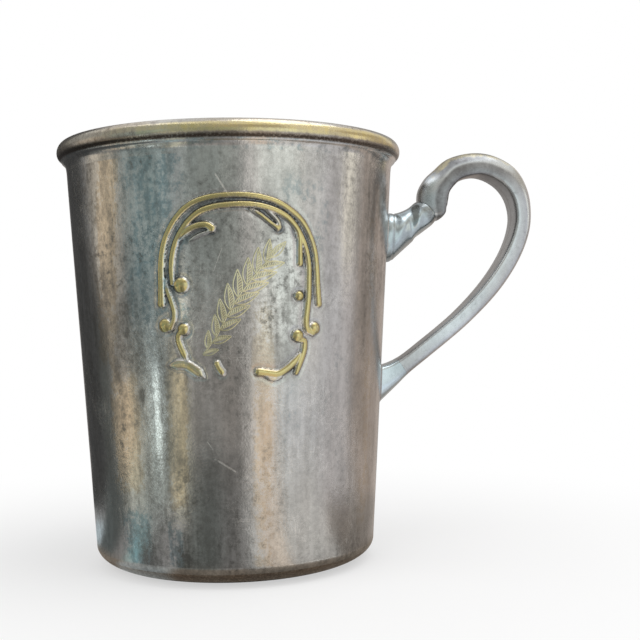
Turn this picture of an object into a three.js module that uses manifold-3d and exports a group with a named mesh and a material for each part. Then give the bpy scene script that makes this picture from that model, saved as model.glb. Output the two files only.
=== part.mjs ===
// A small tapered drinking mug in old plated brass, with a scroll cartouche raised on its front
// and a hollow scroll handle. Millimetres, +Z up. The origin is the middle of the underside, the
// handle stands towards +X in the plane y = 0, and the cartouche faces -Y.
import * as THREE from 'three';
import { mergeVertices } from 'three/addons/utils/BufferGeometryUtils.js';
import loadManifold from 'manifold-3d';

// Driving sizes of the cup
const totalHeight = 96.6;
const mouthRadius = 40; // to the widest line of the rim moulding
const rimOverhang = 2.16; // from the wall out to that line
const wallFootRadius = 32.42; // outside of the wall at the base seam
const wallThickness = 0.9;
const jointGap = 0.25; // room left for solder between pieces that fit together

// Rim moulding
const rimDepth = 6.2; // from the top of the mug down to the moulding's toe
const beadDrop = 2.2; // from the top down to the widest line
const crestSetback = 1.8; // from the widest line in to the crest
const lipDepth = 1.4; // how far the moulding folds over the wall's top edge
const toeWidth = 0.35;
const toeHeight = 0.3;
const rimFilletHeight = 0.7;

// Base pan
const seamHeight = 4.6; // where the wall ends and the rounded base shows
const cornerReach = 8; // how far the rounded corner runs in under the mug
const panThickness = 0.9;
const flangeHeight = 3; // lap of the pan inside the wall
const baseFilletSize = 0.8;

// Handle: its seats on the wall, how far it stands out and how stout it is
const upperSeatDrop = 15.4; // from the rim's toe down to the middle of the upper seat
const handleSpan = 35; // between the middles of the two seats
const handleReach = 37.1; // from the wall to the outside of the bow
const bowThickness = 6.4; // across the shoulder, in the plane of the handle
const bowDepth = 8.5; // along Y at the top
const bowShell = 0.9;
const voluteRound = 2.6; // length of the rounded end of the scroll
const footLength = 7.4; // from the start of the spine to the joint of foot and bow
const spigotLength = 3; // peg of the foot inside the hollow bow
const bracketHeight = 12.6; // of the upper bracket at the wall
const bracketDepth = 9.2; // along Y at the wall
const bracketRound = 1.5;
const collarThickness = 1; // solder collar between a casting and the wall
const collarSwell = 0.3; // how far the collar stands out round the casting

// Cartouche raised on the wall
const cartoucheWidth = 34.4;
const cartoucheHeight = 37.2;
const cartoucheDrop = 27.4; // from the rim's toe down to the middle of the cartouche
const bandWidth = 1.5;
const fineBandWidth = 1;
const bandRelief = 0.8;
const knobRelief = 1.1;

// Fineness of the facets
const turns = 72; // round the cup
const arcSteps = 5;
const barSides = 16; // round the handle
const barStep = 2.6; // between two sections of the handle
const bandSides = 8;
const bandStep = 1.7; // between two sections of a band
const mergeDistance = 1e-4;
const up = new THREE.Vector3(0, 1, 0);

// Heights and radii that follow from them
const rimFoot = totalHeight - rimDepth;
const lipHeight = totalHeight - lipDepth;
const widestHeight = totalHeight - beadDrop;
const crestRadius = mouthRadius - crestSetback;
const wallTopRadius = mouthRadius - rimOverhang;
const wallSlope = (wallTopRadius - wallFootRadius) / (rimFoot - seamHeight);
const upperSeat = rimFoot - upperSeatDrop;
const lowerSeat = upperSeat - handleSpan;
const cartoucheMiddle = rimFoot - cartoucheDrop;

// Handle spine from the wall at the foot, up the bow and round to the scroll. Each row is the
// distance out from the wall as a share of the reach, the height above the lower seat as a share
// of the span, and the thickness and depth there as shares of the bow's.
const bowRows = [
  [-0.018, 0.004, 1.5, 0.94], [0.061, 0.046, 1.04, 0.84], [0.165, 0.119, 0.73, 0.7],
  [0.297, 0.227, 0.69, 0.68], [0.545, 0.447, 0.69, 0.74], [0.738, 0.673, 0.73, 0.82],
  [0.853, 0.874, 0.74, 0.88], [0.904, 1.034, 0.75, 0.92], [0.913, 1.157, 0.76, 0.95],
  [0.88, 1.297, 0.85, 1.0], [0.805, 1.411, 0.98, 1.0], [0.686, 1.483, 0.97, 1.0],
  [0.575, 1.501, 0.94, 1.0], [0.472, 1.482, 0.93, 1.0], [0.388, 1.424, 0.92, 0.98],
  [0.345, 1.331, 0.87, 0.95], [0.337, 1.234, 0.82, 0.92], [0.36, 1.126, 0.77, 0.88],
];

// Spine of the upper bracket, a cast baluster that cups the scroll, in shares of the same reach
// and span and of its own height and depth.
const bracketRows = [
  [-0.077, 1.0, 1.0, 1.0], [0.001, 1.0, 0.95, 1.0], [0.045, 1.028, 0.79, 0.84],
  [0.1, 1.066, 0.65, 1.0], [0.155, 1.1, 0.57, 0.84], [0.216, 1.149, 0.56, 0.92],
  [0.256, 1.25, 0.39, 0.82], [0.272, 1.35, 0.26, 0.65], [0.292, 1.43, 0.13, 0.45],
];

// Bands of the cartouche, as percentages of its half width and half height from its middle.
const bands = [
  { width: bandWidth, route: [[-98, -19], [-98, 16], [-86, 56], [-55, 89], [-10, 99], [37, 95],
    [74, 66], [92, 20], [99, -22]] },
  { width: bandWidth, route: [[-74, 1], [-85, 18], [-83, 40], [-57, 75], [-16, 89], [28, 84],
    [65, 60], [83, 24], [84, -13], [81, -39], [89, -49]] },
  { width: bandWidth, route: [[-73, 50], [-55, 64], [-44, 67], [-34, 64]] },
  { width: fineBandWidth, route: [[-33, 61], [-44, 57], [-60, 50]] },
  { width: fineBandWidth, route: [[12, 86], [37, 68], [46, 61]] },
  { width: fineBandWidth, route: [[47, 62], [42, 71], [31, 82]] },
  { width: bandWidth, route: [[60, 65], [71, 44], [71, 23]] },
  { width: bandWidth, route: [[-93, -1], [-83, -23], [-83, -36], [-92, -43]] },
  { width: bandWidth, route: [[-70, -47], [-75, -63], [-64, -82], [-45, -97]] },
  { width: bandWidth, route: [[-88, -86], [-73, -86], [-56, -90]] },
  { width: bandWidth, route: [[-28, -88], [-24, -94], [-19, -100]] },
  { width: bandWidth, route: [[68, -57], [78, -64], [73, -80], [67, -95]] },
  { width: bandWidth, route: [[19, -96], [43, -97], [62, -87], [73, -78]] },
  { width: fineBandWidth, route: [[25, -100], [40, -103], [52, -94]] },
];
const knobs = [
  { place: [-72, 1], radius: 1.4 }, { place: [90, -49], radius: 1.4 },
  { place: [-92, -43], radius: 1.5 }, { place: [-69, -47], radius: 1.25 },
  { place: [71, -12], radius: 1.1 }, { place: [68, -57], radius: 1.3 },
];

const wasm = await loadManifold();
wasm.setup();

// Outside radius of the wall at a height.
function wallRadius(height) {
  return wallFootRadius + wallSlope * (height - seamHeight);
}

// Radius of the pieces that fit inside the wall at a height.
function linerRadius(height) {
  return wallRadius(height) - wallThickness - jointGap;
}

// Reverses every face of a list of corner numbers.
function reversed(faces) {
  const turned = [];
  for (let i = 0; i < faces.length; i += 3) {
    turned.push(faces[i], faces[i + 2], faces[i + 1]);
  }
  return turned;
}

// A solid from a list of corners and a list of faces, with its faces outwards.
function solidFrom(corners, faces) {
  const make = (list) => new wasm.Manifold(new wasm.Mesh({
    numProp: 3,
    vertProperties: corners,
    triVerts: new Uint32Array(list),
  }));
  const solid = make(faces);
  return solid.volume() < 0 ? make(reversed(faces)) : solid;
}

// A solid from a closed geometry: shared corners are merged and faces without area left out.
function toSolid(geometry) {
  const bare = new THREE.BufferGeometry();
  bare.setAttribute('position', geometry.toNonIndexed().getAttribute('position'));
  const merged = mergeVertices(bare, mergeDistance);
  const index = merged.index.array;
  const faces = [];
  for (let i = 0; i < index.length; i += 3) {
    const [a, b, c] = index.slice(i, i + 3);
    if (a !== b && b !== c && c !== a) faces.push(a, b, c);
  }
  return solidFrom(merged.attributes.position.array, faces);
}

// The finished solid as a geometry.
function toGeometry(solid) {
  const { vertProperties, triVerts } = solid.getMesh();
  const geometry = new THREE.BufferGeometry();
  geometry.setAttribute('position', new THREE.BufferAttribute(vertProperties, 3));
  geometry.setIndex(new THREE.BufferAttribute(triVerts, 1));
  geometry.computeVertexNormals();
  return geometry;
}

// A ring or disc turned about the Z axis from a profile of [radius, height] points.
function turned(profile) {
  const points = profile.map(([radius, height]) => new THREE.Vector2(radius, height));
  const closes = points[0].x === 0 && points[points.length - 1].x === 0;
  if (!closes) points.push(points[0].clone());
  return toSolid(new THREE.LatheGeometry(points, turns).rotateX(Math.PI / 2));
}

// Points of a quarter of an ellipse, from one angle to another in quarter turns.
function quarter(middle, reach, rise, from, to) {
  const quarterTurn = Math.PI / 2;
  const backwards = to < from;
  const curve = new THREE.EllipseCurve(
    middle[0], middle[1], reach, rise, from * quarterTurn, to * quarterTurn, backwards,
  );
  return curve.getPoints(arcSteps).map((point) => [point.x, point.y]);
}

// Joins a row of closed sections, all with the same number of points, into a solid.
function loft(sections) {
  const sides = sections[0].length;
  const last = (sections.length - 1) * sides;
  const corners = new Float32Array(sections.flat().flatMap((point) => point.toArray()));
  const faces = [];
  for (let start = 0; start < last; start += sides) {
    for (let side = 0; side < sides; side += 1) {
      const here = start + side;
      const next = start + ((side + 1) % sides);
      faces.push(here, next, next + sides, here, next + sides, here + sides);
    }
  }
  for (let side = 1; side + 1 < sides; side += 1) {
    faces.push(0, side + 1, side, last, last + side, last + side + 1);
  }
  return solidFrom(corners, faces);
}

// Distances along a bar, with closer ones over the rounded length at its end.
function stations(from, to, roundLength) {
  const straightEnd = to - roundLength;
  const count = Math.max(2, Math.round((straightEnd - from) / barStep));
  const list = [];
  for (let i = 0; i <= count; i += 1) {
    list.push(from + ((straightEnd - from) * i) / count);
  }
  for (let i = 1; roundLength > 0 && i < arcSteps; i += 1) {
    list.push(straightEnd + roundLength * Math.sin((i / arcSteps) * (Math.PI / 2)));
  }
  return list;
}

// A bar of rounded oblong section that follows a curve in the plane y = 0.
class Bar {
  // Rows are [out, up, thickness, depth] shares.
  constructor(rows, thickness, depth) {
    const places = rows.map(([out, rise]) => Bar.place(out, rise));
    this.spine = new THREE.CatmullRomCurve3(places, false, 'centripetal');
    this.spine.arcLengthDivisions = rows.length * 40;
    this.halfSizes = new THREE.SplineCurve(
      rows.map(([, , thick, deep]) => new THREE.Vector2((thick * thickness) / 2, (deep * depth) / 2)),
    );
    this.length = this.spine.getLength();
  }

  // A point from its shares of the reach and of the span.
  static place(out, rise) {
    const height = lowerSeat + rise * handleSpan;
    return new THREE.Vector3(wallRadius(height) + out * handleReach, 0, height);
  }

  // The closed section at a distance along the spine, grown or shrunk all round.
  section(distance, growth, scale) {
    const t = this.spine.getUtoTmapping(0, distance);
    const centre = this.spine.getPoint(t);
    const along = this.spine.getTangent(t);
    const outward = new THREE.Vector3(-along.z, 0, along.x);
    const half = this.halfSizes.getPoint(t);
    const halfThick = half.x * scale + growth;
    const halfDeep = half.y * scale + growth;
    const points = [];
    for (let side = 0; side < barSides; side += 1) {
      const [p, q] = softSquare((side / barSides) * 2 * Math.PI);
      points.push(centre.clone().addScaledVector(outward, p * halfThick)
        .addScaledVector(up, q * halfDeep));
    }
    return points;
  }

  // The bar between two distances, its far end rounded over a length.
  between(from, to, growth = 0, roundLength = 0) {
    const sections = stations(from, to, roundLength).map((distance) => {
      const into = roundLength > 0 ? Math.max(0, 1 - (to - distance) / roundLength) : 0;
      return this.section(distance, growth, Math.sqrt(1 - into * into));
    });
    return loft(sections);
  }
}

// A point of a square with soft corners and slightly bowed sides, inside a unit circle's box.
function softSquare(angle) {
  const power = 2 / 2.5;
  const soft = (value) => Math.sign(value) * Math.abs(value) ** power;
  return [soft(Math.cos(angle)), soft(Math.sin(angle))];
}

// The wall's solid cone grown outwards, which trims the castings to the wall.
function wallCone(growth) {
  return turned([
    [0, 0],
    [wallRadius(0) + growth, 0],
    [wallRadius(totalHeight) + growth, totalHeight],
    [0, totalHeight],
  ]);
}

// Solder collar and casting of a bar that starts inside the wall.
function seated(bar, casting) {
  const seatLength = handleReach / 5;
  const collar = bar.between(0, seatLength, collarSwell)
    .intersect(wallCone(jointGap + collarThickness))
    .subtract(wallCone(jointGap));
  return [collar, casting.subtract(wallCone(2 * jointGap + collarThickness))];
}

// A point on the wall's outside, from its place across and up from the cartouche's middle.
function onWall(across, rise, lift) {
  const height = cartoucheMiddle + rise;
  const radius = wallRadius(height);
  const turn = across / radius;
  const out = radius + lift;
  return new THREE.Vector3(Math.sin(turn) * out, -Math.cos(turn) * out, height);
}

// Millimetres across and up for a place given in percent of the cartouche's half sizes.
function cartouchePlace([across, rise]) {
  return new THREE.Vector3((across / 200) * cartoucheWidth, (rise / 200) * cartoucheHeight, 0);
}

// Height of a half round section over the wall, and its root below the surface.
function reliefLift(share, relief) {
  return share > 0 ? share * relief : (share * wallThickness) / 2;
}

// A half round band that follows a route on the wall, with rounded ends.
function reliefBand({ route, width }) {
  const curve = new THREE.CatmullRomCurve3(route.map(cartouchePlace), false, 'centripetal');
  const length = curve.getLength();
  const count = Math.max(4, Math.round(length / bandStep));
  const sections = [];
  for (let i = 0; i <= count; i += 1) {
    const centre = curve.getPointAt(i / count);
    const along = curve.getTangentAt(i / count);
    const toEnd = Math.min(i, count - i) * (length / count);
    const size = Math.min(1, 0.45 + (0.55 * toEnd) / width);
    const section = [];
    for (let side = 0; side < bandSides; side += 1) {
      const angle = (side / bandSides) * 2 * Math.PI;
      const sideways = (Math.cos(angle) * width * size) / 2;
      const lift = reliefLift(Math.sin(angle), bandRelief * size);
      section.push(onWall(centre.x - along.y * sideways, centre.y + along.x * sideways, lift));
    }
    sections.push(section);
  }
  return loft(sections);
}

// A round knob raised on the wall where a scroll ends.
function reliefKnob({ place, radius }) {
  const centre = cartouchePlace(place);
  const tiers = [0.12, 0.4, 0.7, 1, 1.35, 1.8];
  const sections = tiers.map((tier) => {
    const polar = (tier * Math.PI) / 2;
    const section = [];
    for (let side = 0; side < bandSides; side += 1) {
      const angle = (side / bandSides) * 2 * Math.PI;
      const reach = Math.sin(polar) * radius;
      const lift = reliefLift(Math.cos(polar), knobRelief);
      section.push(onWall(centre.x + Math.cos(angle) * reach, centre.y + Math.sin(angle) * reach,
        lift));
    }
    return section;
  });
  return loft(sections);
}

// Tapered wall with the cartouche raised on its front.
function bodySleeve() {
  const wall = turned([
    [wallRadius(seamHeight), seamHeight],
    [wallRadius(lipHeight), lipHeight],
    [wallRadius(lipHeight) - wallThickness, lipHeight],
    [wallRadius(seamHeight) - wallThickness, seamHeight],
  ]);
  const relief = [...bands.map(reliefBand), ...knobs.map(reliefKnob)];
  return relief.reduce((body, piece) => body.add(piece), wall);
}

// Floor with its rounded corner and the flange that laps inside the wall.
function basePan() {
  const flat = wallFootRadius - cornerReach;
  const flangeTop = seamHeight + flangeHeight;
  const innerReach = linerRadius(seamHeight) - panThickness - flat;
  return turned([
    [0, 0],
    ...quarter([flat, seamHeight], cornerReach, seamHeight, -1, 0),
    [linerRadius(seamHeight), seamHeight],
    [linerRadius(flangeTop), flangeTop],
    [linerRadius(flangeTop) - panThickness, flangeTop],
    ...quarter([flat, seamHeight], innerReach, seamHeight - panThickness, 0, -1),
    [0, panThickness],
  ]);
}

// Fillet of solder on the flange's edge inside the cup.
function baseSolder() {
  const bottom = seamHeight + flangeHeight;
  const top = bottom + baseFilletSize;
  return turned([
    [linerRadius(bottom), bottom],
    [linerRadius(top), top],
    [linerRadius(bottom) - baseFilletSize * 0.3, bottom + baseFilletSize * 0.3],
    [linerRadius(bottom) - baseFilletSize, bottom],
  ]);
}

// Turned moulding folded over the wall's top edge: lip, bead, and an ogee down to its toe.
function rimMoulding() {
  const innerRadius = wallRadius(lipHeight) - wallThickness;
  const toeRadius = wallRadius(rimFoot) + jointGap + toeWidth;
  const toeTop = rimFoot + toeHeight;
  const ogeeHeight = widestHeight - toeTop;
  const ogee = new THREE.CubicBezierCurve(
    new THREE.Vector2(mouthRadius, widestHeight),
    new THREE.Vector2(mouthRadius, widestHeight - 0.45 * ogeeHeight),
    new THREE.Vector2(toeRadius, toeTop + 0.6 * ogeeHeight),
    new THREE.Vector2(toeRadius, toeTop),
  );
  return turned([
    ...quarter([crestRadius, lipHeight], crestRadius - innerRadius, lipDepth, 2, 1),
    ...quarter([crestRadius, widestHeight], crestSetback, beadDrop, 1, 0).slice(1),
    ...ogee.getPoints(arcSteps + 1).slice(1).map((point) => [point.x, point.y]),
    [toeRadius, rimFoot],
    [wallRadius(rimFoot) + jointGap, rimFoot],
    [wallRadius(lipHeight) + jointGap, lipHeight],
  ]);
}

// Fine fillet of solder under the moulding's toe.
function rimSolder() {
  const bottom = rimFoot - rimFilletHeight;
  return turned([
    [wallRadius(rimFoot) + jointGap, rimFoot],
    [wallRadius(rimFoot) + jointGap + toeWidth, rimFoot],
    [wallRadius(bottom) + jointGap + toeWidth / 4, bottom],
    [wallRadius(bottom) + jointGap, bottom],
  ]);
}

// Mesh of one piece with its own finish.
function piece(name, solid, colour, roughness) {
  const material = new THREE.MeshStandardMaterial({
    color: new THREE.Color(colour),
    roughness,
    metalness: 1,
  });
  const mesh = new THREE.Mesh(toGeometry(solid), material);
  mesh.name = name;
  return mesh;
}

// The cup: wall, base, moulding and the solder between them.
function makeCup() {
  const cup = new THREE.Group();
  cup.add(piece('body_sleeve', bodySleeve(), '#8b8985', 0.38));
  cup.add(piece('base_pan', basePan(), '#75706a', 0.42));
  cup.add(piece('base_solder', baseSolder(), '#9a9a98', 0.5));
  cup.add(piece('rim_moulding', rimMoulding(), '#a08f5c', 0.3));
  cup.add(piece('rim_solder', rimSolder(), '#a9abaf', 0.45));
  return cup;
}

// The handle: two half shells, the bracket and foot that carry them, and their solder collars.
function makeHandle() {
  const bow = new Bar(bowRows, bowThickness, bowDepth);
  const bracket = new Bar(bracketRows, bracketHeight, bracketDepth);
  const hollowEnd = bow.length - voluteRound - bowShell;
  const spigotShrink = -(bowShell + jointGap);
  const footSolid = bow.between(0, footLength - jointGap)
    .add(bow.between(footLength - 2 * jointGap, footLength + spigotLength, spigotShrink));
  const shell = bow.between(footLength, bow.length, 0, voluteRound)
    .subtract(bow.between(footLength - jointGap, hollowEnd, -bowShell));
  const bracketSolid = bracket.between(0, bracket.length, 0, bracketRound)
    .subtract(bow.between(footLength, bow.length, jointGap, voluteRound));
  const [upperCollar, upperCasting] = seated(bracket, bracketSolid);
  const [lowerCollar, lowerCasting] = seated(bow, footSolid);
  const handle = new THREE.Group();
  handle.add(piece('handle_near_half', shell.trimByPlane([0, -1, 0], 0), '#a3a5a6', 0.32));
  handle.add(piece('handle_far_half', shell.trimByPlane([0, 1, 0], 0), '#a3a5a6', 0.32));
  handle.add(piece('upper_bracket', upperCasting, '#97999a', 0.35));
  handle.add(piece('upper_solder', upperCollar, '#a9abaf', 0.45));
  handle.add(piece('lower_foot', lowerCasting, '#97999a', 0.35));
  handle.add(piece('lower_solder', lowerCollar, '#a9abaf', 0.45));
  return handle;
}

const mug = new THREE.Group();
mug.add(makeCup());
mug.add(makeHandle());

export default mug;
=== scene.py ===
"""Small tapered drinking mug in old plated brass, with a scroll cartouche and a scroll handle.

Sizes in the classes are millimetres in the frame of the CAD model: +Z up, the handle towards +X,
the cartouche towards -Y. Meshes are made in metres.
"""
import logging
import math
from dataclasses import dataclass, field
from enum import Enum
from functools import reduce
from typing import Any

import bpy
import numpy as np
from mathutils import Matrix, Vector


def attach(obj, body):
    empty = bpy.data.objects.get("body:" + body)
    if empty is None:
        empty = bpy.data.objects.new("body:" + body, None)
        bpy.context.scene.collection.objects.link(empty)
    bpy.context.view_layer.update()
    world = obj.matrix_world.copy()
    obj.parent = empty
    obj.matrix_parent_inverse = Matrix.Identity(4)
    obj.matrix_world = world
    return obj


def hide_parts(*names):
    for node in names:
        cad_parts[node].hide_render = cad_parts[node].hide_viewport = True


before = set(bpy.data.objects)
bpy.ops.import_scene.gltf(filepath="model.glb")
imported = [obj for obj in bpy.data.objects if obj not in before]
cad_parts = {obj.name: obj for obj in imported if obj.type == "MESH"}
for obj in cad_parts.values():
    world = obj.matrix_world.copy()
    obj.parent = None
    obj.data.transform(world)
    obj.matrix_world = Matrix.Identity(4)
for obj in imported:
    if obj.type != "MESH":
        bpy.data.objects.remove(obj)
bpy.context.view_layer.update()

MM = 0.001
LOG = logging.getLogger("mug")

Colour = tuple[float, float, float]
Place = tuple[float, float]
Feed = dict[str | int, Any]
Tree = bpy.types.NodeTree
Piece = bpy.types.Object

ORIGIN = (0.0, 0.0, 0.0)
GREY = (0.5, 0.5, 0.5, 1.0)
GEOMETRY, MATERIAL, OBJECT = "NodeSocketGeometry", "NodeSocketMaterial", "NodeSocketObject"
INPUT_TYPES = {float: "NodeSocketFloat", int: "NodeSocketInt", 3: "NodeSocketVector",
               4: "NodeSocketColor"}
OUTPUT_TYPES = {"VALUE": "NodeSocketFloat", "RGBA": "NodeSocketColor", "GEOMETRY": GEOMETRY}


class Slot(Enum):
    """Material slots of the record."""

    WALL = "worn_plate"
    BASE = "base_plate"
    SOLDER = "solder"
    RIM = "rim_brass"
    BOW = "handle_plate"
    CASTING = "casting_plate"


class Mark(Enum):
    """Point attributes that the finishes read."""

    WEAR = "wear"
    # Dirt in hollows and seams, and also painted shade under the rim's bead and at the bracket's
    # neck.
    DIRT = "dirt"
    # On the wall the rubbed and film patches are partly painted reflections of the room's tones.
    RUBBED = "rubbed_patch"
    FILM = "film_patch"
    # Tarnish patches, and also painted shade on the handle and the rim; below zero it lightens the
    # plate as a painted highlight.
    SHADE = "dark_patch"
    CALM = "smooth_patch"


@dataclass(frozen=True)
class Value:
    """An output of a node, on which plain arithmetic adds Math nodes."""

    net: "Net"
    socket: bpy.types.NodeSocket

    def __add__(self, other: Any) -> "Value":
        """Add a number or a value."""
        return self.net.maths("ADD", self, other)

    def __sub__(self, other: Any) -> "Value":
        """Subtract a number or a value."""
        return self.net.maths("SUBTRACT", self, other)

    def __rsub__(self, other: float) -> "Value":
        """Subtract this value from a number."""
        return self.net.maths("SUBTRACT", other, self)

    def __mul__(self, other: Any) -> "Value":
        """Multiply by a number or a value."""
        return self.net.maths("MULTIPLY", self, other)

    def __truediv__(self, other: Any) -> "Value":
        """Divide by a number or a value."""
        return self.net.maths("DIVIDE", self, other)


class Net:
    """A node tree that is wired while its nodes are added."""

    def __init__(self, owner: Any) -> None:
        """Start on a node tree, or on the emptied tree of a material or a world.

        Args:
            owner: the node tree, material or world.
        """
        if not isinstance(owner, Tree):
            owner.use_nodes = True
            owner.node_tree.nodes.clear()
            owner = owner.node_tree
        self.tree = owner

    def add(self, kind: str, feeds: Feed | None = None, **settings: Any) -> bpy.types.Node:
        """Add one node.

        Args:
            kind: the node's type.
            feeds: for each input, by name or number, a value to link or a plain one.
            **settings: properties of the node, which are set first.

        Returns:
            The new node.
        """
        node = self.tree.nodes.new(kind)
        for key, value in settings.items():
            setattr(node, key, value)
        for key, value in (feeds or {}).items():
            socket = node.inputs[key]
            if isinstance(value, Value):
                self.tree.links.new(value.socket, socket)
            elif socket.type == "RGBA" and len(value) == 3:
                socket.default_value = (*value, 1.0)
            else:
                socket.default_value = value
        return node

    def outs(self, kind: str, feeds: Feed | None = None, **settings: Any) -> dict[str, Value]:
        """Add a node and return its outputs by name."""
        return {socket.name: Value(self, socket)
                for socket in self.add(kind, feeds, **settings).outputs}

    def out(self, kind: str, feeds: Feed | None = None, **settings: Any) -> Value:
        """Add a node and return its first output."""
        return Value(self, self.add(kind, feeds, **settings).outputs[0])

    def maths(self, operation: str, *values: Any) -> Value:
        """Add a Math node on values or numbers."""
        return self.out("ShaderNodeMath", dict(enumerate(values)), operation=operation)

    def vector(self, operation: str, *values: Any) -> Value:
        """Add a Vector Math node and return its vector."""
        return self.out("ShaderNodeVectorMath", dict(enumerate(values)), operation=operation)

    def measure(self, operation: str, *values: Any) -> Value:
        """Add a Vector Math node and return its number."""
        return self.outs("ShaderNodeVectorMath", dict(enumerate(values)),
                         operation=operation)["Value"]

    def scaled(self, vector: Value, factor: Value) -> Value:
        """Multiply a vector by a number."""
        return self.out("ShaderNodeVectorMath", {0: vector, "Scale": factor}, operation="SCALE")

    def combine(self, x: Any = 0.0, y: Any = 0.0, z: Any = 0.0) -> Value:
        """Join three numbers to a vector."""
        return self.out("ShaderNodeCombineXYZ", {0: x, 1: y, 2: z})

    def split(self, vector: Value) -> dict[str, Value]:
        """Take a vector apart into X, Y and Z."""
        return self.outs("ShaderNodeSeparateXYZ", {0: vector})

    def clamp(self, value: Value) -> Value:
        """Hold a value between 0 and 1."""
        return self.out("ShaderNodeClamp", {0: value})

    def largest(self, values: list[Value]) -> Value:
        """Return the largest of several values."""
        return reduce(lambda first, second: self.maths("MAXIMUM", first, second), values)

    def stretch(self, value: Value, low: float, high: float, to_low: float = 0.0,
                to_high: float = 1.0) -> Value:
        """Map a value smoothly from one range to another."""
        return self.out("ShaderNodeMapRange", dict(enumerate((value, low, high, to_low, to_high))),
                        interpolation_type="SMOOTHSTEP")

    def noise(self, vector: Value, scale: Any, detail: float = 3.0,
              roughness: float = 0.55) -> Value:
        """Add a 3D noise and return its number."""
        return self.out("ShaderNodeTexNoise", {
            "Vector": vector, "Scale": scale, "Detail": detail, "Roughness": roughness})

    def blend(self, share: Value, first: Any, second: Any) -> Value:
        """Mix two colours by a share."""
        node = self.add("ShaderNodeMix", {0: share, 6: first, 7: second}, data_type="RGBA")
        return Value(self, node.outputs[2])

    def group(self, tree: Tree, feeds: Feed) -> dict[str, Value]:
        """Add a shader group and return its outputs by name."""
        return self.outs("ShaderNodeGroup", feeds, node_tree=tree)

    def give(self, **results: Value) -> Tree:
        """End a group with named outputs.

        Args:
            **results: the value of each output.

        Returns:
            The group's tree.
        """
        for label, value in results.items():
            self.tree.interface.new_socket(
                name=label, in_out="OUTPUT", socket_type=OUTPUT_TYPES[value.socket.type])
        self.add("NodeGroupOutput", results)
        return self.tree

    def dressed(self, geometry: Value, finish: Value) -> Tree:
        """End a geometry tree with real instances and a material.

        Args:
            geometry: what the tree has made.
            finish: the material's input.

        Returns:
            The tree.
        """
        real = self.out("GeometryNodeRealizeInstances", {0: geometry})
        return self.give(Geometry=self.out("GeometryNodeSetMaterial", {
            0: real, "Material": finish}))


def new_group(name: str, kind: str, inputs: dict[str, Any]) -> tuple[Net, dict[str, Value]]:
    """Start a node group with named inputs.

    Args:
        name: the group's name.
        kind: its tree type.
        inputs: the default of each input, or its socket type where it has none.

    Returns:
        The net of the tree and its inputs by name.
    """
    tree = bpy.data.node_groups.new(name, kind)
    for label, default in inputs.items():
        size = len(default) if isinstance(default, tuple) else type(default)
        made = tree.interface.new_socket(name=label, in_out="INPUT",
                                         socket_type=INPUT_TYPES.get(size, default))
        if size in INPUT_TYPES:
            made.default_value = default
    net = Net(tree)
    return net, net.outs("NodeGroupInput")


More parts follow.
